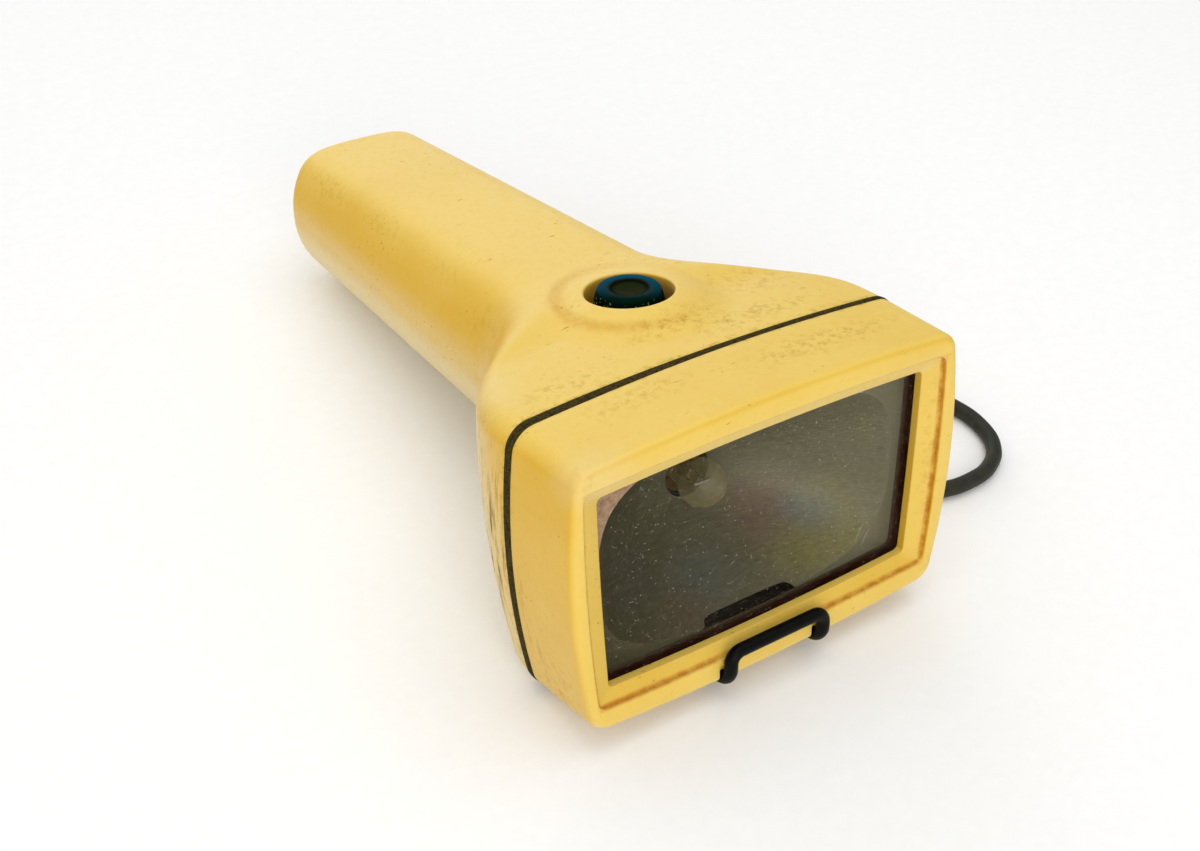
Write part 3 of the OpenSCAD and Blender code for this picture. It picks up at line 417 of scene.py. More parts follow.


# Round the button: an ochre ring at the foot of the dome, dirt and painted shade, stronger on the left; and ochre on
# the recess's walls, stronger further down
def ochreAndShadeByButton(tree, at, axes, fine):
    far = fromButton(tree, at)[1]
    off = addNode(tree, "Math", {0: far, 1: 20.8}, operation="SUBTRACT")
    off = addNode(tree, "Math", {0: off}, operation="ABSOLUTE")
    band = addNode(tree, "MapRange", {"Value": off, "From Min": 3.6, "From Max": 0.2, "To Max": 0.42},
                   interpolation_type="SMOOTHSTEP")
    worn = addNode(tree, "MapRange", {"Value": fine, "From Min": 0.3, "From Max": 0.6, "To Min": 0.5})
    # Painted shade: the ring is stronger on the left side of the dome
    shadedLeft = addNode(tree, "MapRange", {"Value": axes["X"], "From Min": 12.0, "From Max": -14.0, "To Min": 0.2})
    inside = addNode(tree, "MapRange", {"Value": far, "From Min": 13.0, "From Max": 12.6, "To Max": 0.75})
    deep = addNode(tree, "MapRange", {"Value": axes["Z"], "From Min": 46.5, "From Max": 43.5})
    for one in (worn, shadedLeft):
        band = addNode(tree, "Math", {0: band, 1: one}, operation="MULTIPLY")
    inside = addNode(tree, "Math", {0: inside, 1: deep}, operation="MULTIPLY")
    return addNode(tree, "Math", {0: band, 1: inside}, operation="MAXIMUM"), "c48414"


# The step's corner as the band follows it: the shift to its middle, its bulging sides, its crowned top and bottom
stepCorner = dict(shift=(0.8, 0, -1.1), bulge=(0.00108, -0.042, -59.1), crown=(0.00043, -34.5))


# An orange-brown band in the corner of the stepped frame
def bandInFrame(tree, at, axes, fine):
    moved = addNode(tree, "Mapping", {"Vector": at, "Location": stepCorner["shift"]})
    moved = addNode(tree, "SeparateXYZ", {0: moved}, out=None)
    square, slope, half = stepCorner["bulge"]
    bulge = addNode(tree, "Math", {0: moved["Z"], 1: square, 2: slope}, operation="MULTIPLY_ADD")
    bulge = addNode(tree, "Math", {0: bulge, 1: moved["Z"], 2: half}, operation="MULTIPLY_ADD")
    across = addNode(tree, "Math", {0: moved["X"]}, operation="ABSOLUTE")
    across = addNode(tree, "Math", {0: across, 1: bulge}, operation="ADD")
    square, half = stepCorner["crown"]
    crown = addNode(tree, "Math", {0: axes["X"], 1: axes["X"]}, operation="MULTIPLY")
    crown = addNode(tree, "Math", {0: crown, 1: square, 2: half}, operation="MULTIPLY_ADD")
    height = addNode(tree, "Math", {0: moved["Z"]}, operation="ABSOLUTE")
    height = addNode(tree, "Math", {0: height, 1: crown}, operation="ADD")
    far = addNode(tree, "Math", {0: across, 1: height}, operation="MAXIMUM")
    far = addNode(tree, "Math", {0: far}, operation="ABSOLUTE")
    band = addNode(tree, "MapRange", {"Value": far, "From Min": 0.95, "From Max": 0.2, "To Max": 0.75})
    depth = addNode(tree, "MapRange", {"Value": axes["Y"], "From Min": -0.6, "From Max": 0.9})
    shallow = addNode(tree, "MapRange", {"Value": axes["Y"], "From Min": 4.0, "From Max": 2.2})
    worn = addNode(tree, "MapRange", {"Value": fine, "From Min": 0.3, "From Max": 0.6, "To Min": 0.35})
    for one in (depth, shallow, worn):
        band = addNode(tree, "Math", {0: band, 1: one}, operation="MULTIPLY")
    return band, "b5651d"


# Patches are given by their middle, their reach in millimetres and their strength
yellow = dict(deep="d7a80a", pale="e8c558", ochre="cf9a2c")
bodyLook = dict(
    yellow, floorSheen=0.8, seam=(31.5, 28.8), mark=ochreAndShadeByButton, rubAndHighlight=((-58, 50, 12), (20, 26, 44), 0.75),
    scrape=((-62, 38, 2), (16, 22, 46), 1.0), smudges=[
        ((-24, 205, 39), (7, 24, 5), 0.35), ((-27, 168, 40), (6, 30, 5), 0.4), ((-29, 128, 40), (7, 24, 5), 0.45),
        ((-36, 96, 34), (12, 14, 10), 0.5), ((-50, 66, 22), (10, 18, 26), 0.6), ((-60, 42, 12), (8, 14, 34), 0.6),
        ((-40, 36, 40), (22, 7, 6), 0.6), ((20, 38, 43), (34, 8, 5), 0.55), ((36, 56, 40), (20, 14, 8), 0.45),
        ((0, 44, 45), (24, 8, 5), 0.6)])
bezelLook = dict(
    yellow, floorSheen=0.3, seam=(25.2, 26.4), mark=bandInFrame, rubAndHighlight=((-57, 2, 37), (18, 14, 10), 0.26),
    scrape=((-63, 22, -10), (6, 8, 30), 0.4), smudges=[
        ((-58, 3, 36), (6, 6, 6), 0.3), ((28, 15, 43), (36, 8, 5), 0.5), ((-62, 14, -30), (8, 12, 16), 0.4),
        ((-30, 20, 43), (24, 6, 5), 0.4), ((58, 3, -34), (8, 6, 8), 0.3), ((57, 3, 0), (5, 5, 42), 0.3)])
bodyPlastic = agedPlastic("Aged yellow moulded plastic", bodyLook)
bezelPlastic = agedPlastic("Aged yellow moulded bezel plastic", bezelLook)


# Two tones mottled at a size in millimetres, with a little relief: for the plainer materials
def mottled(name, dark, light, roughness, size, metallic=0.0, ior=1.5, relief=0.0001, gloss=0.5):
    made, tree, shader = newMaterial(name)
    at = addNode(tree, "Mapping", {"Vector": torchPoint(tree), "Scale": [1 / size] * 3})
    tone = addNode(tree, "TexNoise", {"Vector": at, "Scale": 1.0, "Detail": 5, "Roughness": 0.62})
    share = addNode(tree, "MapRange", {"Value": tone, "From Min": 0.32, "From Max": 0.68})
    rough = addNode(tree, "MapRange", {"Value": tone, "From Min": 0.3, "From Max": 0.7,
                                       "To Min": roughness - 0.08, "To Max": roughness + 0.08})
    bump = addNode(tree, "Bump", {"Height": tone, "Strength": 0.3, "Distance": relief})
    colour = addNode(tree, "Mix", {0: share, 6: linear(dark), 7: linear(light)}, out=2, data_type="RGBA")
    fill(tree, shader, {"Base Color": colour, "Roughness": rough, "Normal": bump, "Metallic": metallic})
    if not metallic:
        fill(tree, shader, {"IOR": ior, "Specular IOR Level": gloss})
    return made


# Pressed rubber, dusty olive-black with paler specks
gasketRubber = mottled("Pressed seal rubber", "1a1507", "4d421d", 0.8, 0.8, ior=1.52, gloss=0.05)
# Steel wire in a dip coating: black and a little soft in its gloss
coatedWire = mottled("Dip-coated steel wire", "050604", "0c0d08", 0.4, 1.6, gloss=0.08)
# Soft extruded plastic: dull, dusty in patches
cordPlastic = mottled("Extruded cord plastic", "191a10", "2c2c1e", 0.55, 3.0, gloss=0.3)
# Tinned steel: bright with drawn streaks
steel = mottled("Tinned spring steel", "8f8d88", "c2c0ba", 0.3, 0.8, metallic=1.0, relief=0.00002)
# Drawn brass gone brown in patches
brass = mottled("Tarnished drawn brass", "8a6428", "bd9a52", 0.32, 2.2, metallic=1.0, relief=0.00002)
# Brass in darker tones, behind the bowl
darkBrass = mottled("Dark bulb cap brass", "3f3418", "6a5628", 0.5, 1.5, metallic=0.8, relief=0.00002)
# Moulded plastic painted nearly black as shade, with a red-brown cast of shaded yellow
shadeBlackPlastic = mottled("Moulded plastic painted black as shade", "010100", "140501", 0.9, 9.0, gloss=0.0)
# Moulded phenolic: black, fine grain
darkPlastic = mottled("Moulded black phenolic", "131312", "232220", 0.5, 0.7, ior=1.55)
# Moulded acetal: pale and plain
palePlastic = mottled("Moulded acetal", "cbc4ae", "ddd6c3", 0.45, 1.2, ior=1.48)
# Shrunk film round the cells: smooth and plain
cellJacket = mottled("Shrunk cell jacket film", "31363c", "444b52", 0.35, 6.0)


# Pressed rubber seal that the light turns deep red-brown, dusty on its inner wall
def brownSeal():
    made, tree, shader = newMaterial("Red-brown lens seal rubber")
    at = torchPoint(tree)
    grain = addNode(tree, "TexNoise", {"Vector": at, "Scale": 0.5, "Detail": 5, "Roughness": 0.62})
    deep = addNode(tree, "SeparateXYZ", {0: at}, out="Y")
    deep = addNode(tree, "MapRange", {"Value": deep, "From Min": 8.4, "From Max": 9.6, "To Max": 0.85})
    colour = linear("1a0401")
    for share, tone in ((grain, "421003"), (deep, "4a4330")):
        colour = addNode(tree, "Mix", {0: share, 6: colour, 7: linear(tone)}, out=2, data_type="RGBA")
    fill(tree, shader, {"Base Color": colour, "Roughness": 0.6, "Specular IOR Level": 0.05})
    return made


# Blown glass, thin: nearly clear, with a painted rim highlight where its edges turn more opaque
def blownGlass():
    made, tree, shader = newMaterial("Blown bulb glass")
    grain = addNode(tree, "TexNoise", {"Vector": torchPoint(tree), "Scale": 0.25, "Detail": 4})
    # Painted rim highlight: the glass is more opaque, so paler, towards its edges
    edge = addNode(tree, "LayerWeight", {"Blend": 0.5}, out="Facing")
    edge = addNode(tree, "MapRange", {"Value": edge, "From Min": 0.2, "From Max": 1.0, "To Min": 0.2, "To Max": 0.6})
    tint = addNode(tree, "Mix", {0: grain, 6: linear("857a50"), 7: linear("b5a97c")}, out=2, data_type="RGBA")
    fill(tree, shader, {"Base Color": tint, "Alpha": edge, "Roughness": 0.15, "IOR": 1.5})
    return made


# Button rubber: dark green with a teal painted highlight towards the right and back of its rim, darker green down the
# side, worn olive in the dish, with pale dirt round its foot
def buttonRubber():
    made, tree, shader = newMaterial("Moulded green button rubber")
    at = torchPoint(tree)
    height = addNode(tree, "SeparateXYZ", {0: at}, out="Z")
    flat, far = fromButton(tree, at)
    tone = addNode(tree, "TexNoise", {"Vector": at, "Scale": 0.35, "Detail": 5, "Roughness": 0.65})
    wander = addNode(tree, "Math", {0: tone, 1: 1.6, 2: far}, operation="MULTIPLY_ADD")
    dish = addNode(tree, "MapRange", {"Value": wander, "From Min": 7.3, "From Max": 6.3})
    side = addNode(tree, "MapRange", {"Value": height, "From Min": 47.0, "From Max": 46.2})
    # Painted highlight: teal towards the right and back of the button
    lean = addNode(tree, "VectorMath", {0: flat, 1: (0.6, 0.8, 0)}, out="Value", operation="DOT_PRODUCT")
    lean = addNode(tree, "MapRange", {"Value": lean, "From Min": -7.0, "From Max": 9.0})
    edge = addNode(tree, "Math", {0: far, 1: 5.0}, operation="SUBTRACT")
    edge = addNode(tree, "Math", {0: edge}, operation="ABSOLUTE")
    edge = addNode(tree, "MapRange", {"Value": edge, "From Min": 0.9, "From Max": 0.2, "To Max": 0.85})
    low = addNode(tree, "MapRange", {"Value": height, "From Min": 46.7, "From Max": 45.6})
    outer = addNode(tree, "Math", {0: far, 1: 8.8}, operation="GREATER_THAN")
    flake = addNode(tree, "TexNoise", {"Vector": at, "Scale": 0.8, "Detail": 4, "Roughness": 0.7})
    flake = addNode(tree, "MapRange", {"Value": flake, "From Min": 0.6, "From Max": 0.66})
    for one in (low, outer):
        flake = addNode(tree, "Math", {0: flake, 1: one}, operation="MULTIPLY")
    colour = linear("021a12")
    for share, tint in ((lean, "024c62"), (side, "01140b"), (dish, "1c220a"), (edge, "050702"), (flake, "a99b80")):
        colour = addNode(tree, "Mix", {0: share, 6: colour, 7: linear(tint)}, out=2, data_type="RGBA")
    rough = addNode(tree, "MapRange", {"Value": tone, "From Min": 0.3, "From Max": 0.7, "To Min": 0.28, "To Max": 0.5})
    fill(tree, shader, {"Base Color": colour, "Roughness": rough, "IOR": 1.5, "Specular IOR Level": 0.004})
    return made


# Rainbow clouds on the bowl: middle, reach in millimetres, strength and colour
bowlTints = [((19, 29, -15), (19, 40, 12), 0.65, "7b5952"), ((30, 12, -24), (24, 40, 9), 0.75, "80783f"),
             ((38, 14, -14), (10, 40, 13), 0.5, "7f7950"), ((31, 19, -16), (10, 40, 7), 0.65, "62767a"),
             ((-6, 24, -22), (18, 40, 8), 0.7, "5c625e"), ((-30, 22, -16), (17, 40, 11), 0.5, "4b4c46"),
             ((-20, 20, -27), (13, 40, 6), 0.5, "5d4a3e")]


# Vacuum-metallised plastic gone dull, darker to the left as painted shade, with cloudy rose, blue and olive tints, and
# a dusty flange
def metallisedBowl():
    made, tree, shader = newMaterial("Aged metallised plastic")
    at = torchPoint(tree)
    axes = addNode(tree, "SeparateXYZ", {0: at}, out=None)
    cloud = addNode(tree, "TexNoise", {"Vector": at, "Scale": 0.035, "Detail": 3})
    # Painted shade: the bowl and its flange are darker to the left
    side = addNode(tree, "MapRange", {"Value": axes["X"], "From Min": -45.0, "From Max": 40.0})
    worn = addNode(tree, "MapRange", {"Value": cloud, "From Min": 0.3, "From Max": 0.6, "To Min": 0.4})
    tints = [(smudge(tree, at, worn, *patch), linear(tint)) for *patch, tint in bowlTints]
    # Fine level streaks, 0.4 mm high and up to 4 mm long
    lay = addNode(tree, "Mapping", {"Vector": at, "Rotation": (0, 0.1, 0), "Scale": (0.3, 0.6, 2.6)})
    streak = addNode(tree, "TexNoise", {"Vector": lay, "Scale": 1.0, "Detail": 4, "Roughness": 0.7})
    streak = addNode(tree, "MapRange", {"Value": streak, "From Min": 0.4, "From Max": 0.68, "To Max": 0.34})
    dust = addNode(tree, "TexNoise", {"Vector": at, "Scale": 0.5, "Detail": 6, "Roughness": 0.7})
    tan = addNode(tree, "MapRange", {"Value": dust, "From Min": 0.3, "From Max": 0.7})
    tan = addNode(tree, "Mix", {0: tan, 6: linear("7d5f42"), 7: linear("b8977a")}, out=2, data_type="RGBA")
    flange = addNode(tree, "MapRange", {"Value": axes["Y"], "From Min": 10.6, "From Max": 10.3})
    flangeTone = addNode(tree, "Mix", {0: side, 6: linear("433f2a"), 7: linear("6b6750")}, out=2, data_type="RGBA")
    # Dust that has settled in the upper corner on one side
    along = addNode(tree, "MapRange", {"Value": axes["X"], "From Min": -48.2, "From Max": -32.7}, clamp=False)
    down = addNode(tree, "MapRange", {"Value": axes["Z"], "From Min": 24.7, "From Max": 10.7}, clamp=False)
    settled = addNode(tree, "Math", {0: along, 1: down}, operation="ADD")
    settled = addNode(tree, "Math", {0: dust, 1: 0.9, 2: settled}, operation="MULTIPLY_ADD")
    settled = addNode(tree, "MapRange", {"Value": settled, "From Min": 1.5, "From Max": 1.3})
    colour = linear("47432c")
    for share, tone in ((side, linear("76725a")), *tints, (streak, linear("33301c")), (flange, flangeTone),
                        (settled, tan)):
        colour = addNode(tree, "Mix", {0: share, 6: colour, 7: tone}, out=2, data_type="RGBA")
    dull = addNode(tree, "Math", {0: flange, 1: settled}, operation="MAXIMUM")
    shine = addNode(tree, "MapRange", {"Value": dull, "To Min": 0.4, "To Max": 0.0})
    rough = addNode(tree, "MapRange", {"Value": cloud, "From Min": 0.3, "From Max": 0.7, "To Min": 0.5, "To Max": 0.62})
    fill(tree, shader, {"Base Color": colour, "Metallic": shine, "Roughness": rough, "Specular IOR Level": 0.2})
    return made


# One long scratch on the lens: its turn, its place along and up, half its width and half its length
scratch = dict(turn=-0.5, x=42.6, z=1.5, width=0.5, length=4.5)


# Moulded clear acrylic: hazed, with dust specks of under 1 mm, short rubbed streaks and one long scratch
def hazedAcrylic():
    made, tree, shader = newMaterial("Hazed clear acrylic")
    at = torchPoint(tree)
    cloud = addNode(tree, "TexNoise", {"Vector": at, "Scale": 0.04, "Detail": 3})
    haze = addNode(tree, "MapRange", {"Value": cloud, "From Min": 0.3, "From Max": 0.7,
                                      "To Min": 0.001, "To Max": 0.008})
    lay = addNode(tree, "Mapping", {"Vector": at, "Rotation": (0, 0.12, 0), "Scale": (0.22, 0.3, 2.2)})
    streak = addNode(tree, "TexNoise", {"Vector": lay, "Scale": 1.0, "Detail": 3, "Roughness": 0.7})
    streak = addNode(tree, "MapRange", {"Value": streak, "From Min": 0.54, "From Max": 0.8, "To Max": 0.06})
    grain = addNode(tree, "TexVoronoi", {"Vector": at, "Scale": 0.7}, out="Distance")
    speck = addNode(tree, "MapRange", {"Value": grain, "From Min": 0.17, "From Max": 0.07, "To Max": 0.5})
    patchy = addNode(tree, "TexNoise", {"Vector": at, "Scale": 0.35, "Detail": 2})
    patchy = addNode(tree, "MapRange", {"Value": patchy, "From Min": 0.4, "From Max": 0.56})
    nick = addNode(tree, "Mapping", {"Vector": at, "Rotation": (0, scratch["turn"], 0)})
    nick = addNode(tree, "Mapping", {
        "Vector": nick, "Location": (-scratch["x"] / scratch["width"], 0, -scratch["z"] / scratch["length"]),
        "Scale": (1 / scratch["width"], 0, 1 / scratch["length"])})
    nick = addNode(tree, "VectorMath", {0: nick}, out="Value", operation="LENGTH")
    nick = addNode(tree, "MapRange", {"Value": nick, "From Min": 1.0, "From Max": 0.4, "To Max": 0.14})
    speck = addNode(tree, "Math", {0: speck, 1: patchy}, operation="MULTIPLY")
    alpha = addNode(tree, "Math", {0: haze, 1: streak}, operation="ADD")
    for one in (speck, nick):
        alpha = addNode(tree, "Math", {0: alpha, 1: one}, operation="MAXIMUM")
    tint = addNode(tree, "Mix", {0: cloud, 6: linear("b5ac8a"), 7: linear("d8d0b8")}, out=2, data_type="RGBA")
    fill(tree, shader, {"Base Color": tint, "Alpha": alpha, "Roughness": 0.25, "IOR": 1.49,
                        "Specular IOR Level": 0.02})
    return made


greenRubber = buttonRubber()
inner = {
    "lens_seal": brownSeal(), "reflector_screws": steel, "bulb_base": darkBrass,
    "bulb_filament": steel, "bulb_holder": darkPlastic, "holder_ring": steel, "button_skirt": greenRubber,
    "skirt_ring": greenRubber, "switch_plunger": palePlastic, "switch_spring": steel,
    "switch_housing": darkPlastic, "switch_base": darkPlastic, "switch_screws": steel, "bulb_leaf": brass,
    "cell_bulkhead": darkPlastic, "positive_contact": brass, "front_cell": cellJacket, "rear_cell": cellJacket,
    "tail_spring": steel, "tail_plate": steel, "return_strip": brass, "lens": hazedAcrylic(),
}
for name, made in inner.items():
    dress(nodes[name], made)
print("stage: inner pieces dressed")

# Body: rings from the inside of the tail, out over the spigot and the seam's edge, and back to the tail
shell = dict(wall=2.6, tailInside=227, skinFront=32.8, spigotIn=5.2, spigotOut=3.0, spigotLength=11.05, edge=0.55,
             tailRound=5.2)
domeBall = (button["dome"] ** 2 + button["rise"] ** 2) / (2 * button["rise"])
domeMiddle = topHeight(0, button["y"]) + button["rise"] - domeBall


def domeHeight(x, y):
    far = min(math.hypot(x, y - button["y"] - button["shift"]), 50)
    return domeMiddle + math.sqrt(domeBall ** 2 - far ** 2)


def domeTop(x, y):
    return -softMin(-topHeight(x, y), -domeHeight(x, y), button["blend"])


front, edge, tip = head["front"], shell["edge"], head["front"] - shell["spigotLength"]
inside, outside = shell["spigotIn"], shell["spigotOut"]
stations = [(shell["tailInside"], shell["wall"])]
stations += [(mix(handle["neck"], shell["skinFront"], k / 48), shell["wall"]) for k in range(49)]
stations += [(front + 2, inside), (tip + 0.35, inside), (tip, inside - 0.3), (tip, outside + 0.3), (tip + 0.3, outside),
             (front, outside), (front, edge)]
stations += [(front + edge - edge * math.cos(a), edge - edge * math.sin(a)) for a in quarter(4)[1:]]
firstOuter = len(stations)
stations += [(mix(front + edge, handle["neck"], k / 66), 0) for k in range(1, 67)]
tailRound = shell["tailRound"]
straight = handle["tail"] - tailRound
stations += [(mix(handle["neck"], straight, k / 40), 0) for k in range(1, 41)]
stations += [(straight + tailRound * math.sin(a), tailRound * (1 - math.cos(a))) for a in quarter(10)[1:]]
rings = [evenRing(y, inset) for y, inset in stations]
seamRows = slice(firstOuter - 6, firstOuter)
rings[seamRows] = [seamEdge(row, -1) for row in rings[seamRows]]
last = rings[-1]
tailMiddle = Vector((0, handle["tail"], sum(p[2] for p in last) / len(last)))
rings += [[tuple(Vector(p).lerp(tailMiddle, k / 5)) for p in last] for k in range(1, 5)]
n = len(rings[0])
points = [p for row in rings for p in row]

# The block round the button is left open, and so is the inner skin where the recess comes through it
block = dict(front=32.5, rear=93.5, half=37, ring=23, skinTop=20, skinGap=0.4)
blockRows = [j for j, (y, inset) in enumerate(stations) if j >= firstOuter and block["front"] <= y <= block["rear"]]
firstRow, lastRow = blockRows[0], blockRows[-1]
wide = max(i for i in range(halfCount // 2) if rings[firstRow][i][0] < block["half"])


def inRecess(quad):
    spots = [points[k] for k in quad]
    near = min(math.hypot(p[0], p[1] - button["y"]) for p in spots)
    return all(p[2] > block["skinTop"] for p in spots) and near < button["recess"] + block["skinGap"]


faces = []
for j in range(len(rings) - 1):
    for i in range(n):
        if firstRow <= j < lastRow and (i < wide or i >= n - wide):
            continue
        c = (i + 1) % n
        quad = (j * n + i, j * n + c, (j + 1) * n + c, (j + 1) * n + i)
        if j < firstOuter and inRecess(quad):
            continue
        faces.append(quad)
for middle, row in ((Vector((0, shell["tailInside"], 20)), 0), (tailMiddle, len(rings) - 1)):
    points.append(tuple(middle))
    faces += [(row * n + i, row * n + (i + 1) % n, len(points) - 1) for i in range(n)]

# Loops from the block's edge in to the dome, over the rim, down the recess and up the outside of its cup
span = [i % n for i in range(-wide, wide + 1)]
border = [(firstRow, i) for i in span[:-1]] + [(j, span[-1]) for j in range(firstRow, lastRow)]
border += [(lastRow, i) for i in span[:0:-1]] + [(j, span[0]) for j in range(lastRow, firstRow, -1)]
before = [j * n + i for j, i in border]
turns = [math.atan2(points[k][1] - button["y"], points[k][0]) for k in before]
starts = [points[k] for k in before]


def roundLoop(r, height):
    spots = [(r * math.cos(a), button["y"] + r * math.sin(a)) for a in turns]
    return [(x, y, height(x, y)) for x, y in spots]


loops = []
around = block["ring"]
for k in range(1, 9):
    spots = [(mix(p[0], around * math.cos(a), k / 8), mix(p[1], button["y"] + around * math.sin(a), k / 8))
             for p, a in zip(starts, turns)]
    loops.append([(x, y, domeTop(x, y)) for x, y in spots])
lip, recess = button["lip"], button["recess"]
loops += [roundLoop(mix(around, recess + lip, k / 16), domeTop) for k in range(1, 17)]
for b in quarter(6)[1:]:
    r = recess + lip * (1 - math.sin(b))
    grow = (recess + lip) / r
    loops.append(roundLoop(r, lambda x, y: domeTop(x * grow, button["y"] + (y - button["y"]) * grow)
                           - lip * (1 - math.cos(b)) + 0.2 * math.sin(b)))
floorZ, underZ, cup, stem = button["floor"], button["under"], recess + button["cupWall"], button["stem"]
for r, z in ((recess, 43.2), (recess - 0.05, floorZ + 0.6), (recess - 0.6, floorZ), (stem, floorZ), (stem, underZ),
             (cup, underZ)):
    loops.append(roundLoop(r, lambda x, y: z))
loops.append(roundLoop(cup, lambda x, y: topHeight(x, y) - button["cupWall"]))
for loop in loops:
    now = list(range(len(points), len(points) + len(loop)))
    points += loop
    faces += [(before[k], before[(k + 1) % len(now)], now[(k + 1) % len(now)], now[k]) for k in range(len(now))]
    before = now
body = meshPiece("BodyShell", points, faces, smoothAngle["housing"])
pressFlat(body)
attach(body, "body")
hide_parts("body_shell")
dress(body, bodyPlastic)
print("stage: body")

# Bezel: a closed loop of rings round the frame's profile
opening = dict(w=52.8, top=29.9, low=-28.5, topCrown=1.4, lowCrown=1.4, sideCrown=0.4, lean=0.02, topRound=1.5,
               lowRound=1.5)
stepGrow = dict(w=5.4, top=4.5, low=-3.7, sideCrown=0.8, lean=0.004, topRound=1.5, lowRound=1.5)
step = {key: value + stepGrow.get(key, 0) for key, value in opening.items()}
bezelSize = dict(wall=2.8, lipBack=5.7, edge=0.5, lipRound=0.45, shift=-0.8)


def frameRing(s, y, inset=0.0):
    return [(px + bezelSize["shift"], py, pz) for px, py, pz in outline(s, y, inset)]


back, rim, edge, lip = head["bezelLength"], head["rim"], bezelSize["edge"], bezelSize["lipRound"]
rows = [ring(y, bezelSize["wall"]) for y in (bezelSize["lipBack"], 12, 18, back)]
rows += [seamEdge(ring(back - edge * (1 - math.cos(a)), edge * (1 - math.sin(a))), 1) for a in quarter(4)]
rows += [ring(mix(back - edge, rim, k / 14)) for k in range(1, 14)]
rows += [ring(rim * (1 - math.sin(a)), rim * (1 - math.cos(a))) for a in quarter(9)]
rows += [frameRing(step, lip * (1 - math.cos(a)), -lip * (1 - math.sin(a))) for a in quarter(4)]
rows += [frameRing(step, y, inset) for y, inset in ((0.9, 0.0), (1.2, 0.1), (1.35, 0.35))]
rows += [frameRing(opening, y, inset) for y, inset in (
    (3.1, -0.45), (3.26, -0.2), (3.38, -0.05), (3.6, 0.0), (bezelSize["lipBack"], 0.0))]
bezel = ringPiece("FrontBezel", rows, smoothAngle["housing"])
# Blocks for the bail's pins, then the slots, grooves and reliefs that the wire moves in
pin = dict(x=16.3, half=2.3, block=21.4)
for y, rear, top in ((10.2, 21.8, -31.5), (5.2, 11.2, -33.9)):
    cutWith(bezel, boxPiece("block", (-pin["block"], y, -40.0), (pin["block"], rear, top)), "UNION")
for side in (-1, 1):
    low, high = side * pin["x"] - pin["half"], side * pin["x"] + pin["half"]
    for name, y, rear, top in (("slot", 9.4, 19, -34.3), ("groove", -4, 14.4, -37.6), ("relief", -4, 0.97, -35.65),
                               ("relief", 7.5, 14.4, -36.6)):
        cutWith(bezel, boxPiece(name, (low, y, -60), (high, rear, top)))
tidyMesh(bezel, smoothAngle["housing"])
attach(bezel, "front")
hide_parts("front_bezel")
dress(bezel, bezelPlastic)
# The blocks for the bail's pins, behind the lens, are painted nearly black as shade
bezel.data.materials.append(shadeBlackPlastic)
liftUp = layDown.inverted()
for face in bezel.data.polygons:
    spot = liftUp @ face.center
    if abs(spot.x) < 21.7 and spot.y > 5.75 and -37 < spot.z < -31.2:
        face.material_index = 1
print("stage: bezel")

# Reflector: rings that share the flange's directions, from the flange over the bowl to the collar and back
bowl = dict(w=100, h=59.4, depth=32, wall=1.5, front=10.15, corner=3.2, flangeInset=4.6, notchTop=-28.4, notchHalf=17.2,
            notchRound=4)
collar = [(7.6, 38.95), (7.6, 40.45), (10.6, 40.45), (10.6, 46.95), (12.1, 46.95), (12.1, 40.6)]
flangeEdge = outline(bodySection(head["seam"]), bowl["front"], bowl["flangeInset"])


def bowlRing(y, a, b, power):
    out = []
    for px, _, pz in flangeEdge:
        grow = ((abs(px) / a) ** power + (abs(pz) / b) ** power) ** (-1 / power)
        out.append((px * grow, y, pz * grow))
    return out


def bowlAt(share, grow=0.0):
    return bowlRing(bowl["front"] + bowl["depth"] * (1 - share) + grow, bowl["w"] / 2 * math.sqrt(share) + grow,
                    bowl["h"] / 2 * math.sqrt(share) + grow, mix(2, bowl["corner"], share))


shares = [1 - 0.9 * k / 24 for k in range(25)]
rows = [flangeEdge] + [bowlAt(share) for share in shares]
rows += [bowlRing(y, r, r, 2) for r, y in collar]
rows += [bowlAt(share, bowl["wall"]) for share in reversed(shares)]
rows.append([(px, py + bowl["wall"], pz) for px, py, pz in flangeEdge])
reflector = ringPiece("Reflector", rows, smoothAngle["housing"])
side, top, r = bowl["notchHalf"], bowl["notchTop"], bowl["notchRound"]
arch = [(side, -60)] + [(side - r * (1 - math.cos(a)), top - r * (1 - math.sin(a))) for a in quarter(8)]
arch += [(-px, pz) for px, pz in reversed(arch)]
count = len(arch)
notch = meshPiece("notch", [(px, y, pz) for y in (9.0, 42.0) for px, pz in arch],
                  skinFaces(2, count) + [tuple(range(count)), tuple(range(2 * count - 1, count - 1, -1))])
cutWith(reflector, notch)
cutWith(reflector, boxPiece("room", (-21.75, 9.0, -60), (21.75, 22.15, -31.15)))
tidyMesh(reflector, smoothAngle["housing"])
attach(reflector, "front")
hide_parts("reflector")
dress(reflector, metallisedBowl())

# Glass of the bulb: a ball down to its neck and seat
bulb = dict(r=7.2, middle=32.2, ball=105, neck=4.2, seat=41.5)
glassProfile = [(bulb["r"] * math.sin(a), bulb["middle"] - bulb["r"] * math.cos(a))
                for a in [math.radians(bulb["ball"]) * k / 16 for k in range(17)]]
glassProfile += [(5.6, 35.9), (4.6, 37.6), (bulb["neck"], 39.4), (bulb["neck"], bulb["seat"]), (3.6, bulb["seat"])]
glass = spun("BulbGlass", glassProfile, 64, (0, 0, 0), (0, 1, 0))
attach(glass, "front")
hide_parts("bulb_glass")
dress(glass, blownGlass())
print("stage: reflector and bulb")

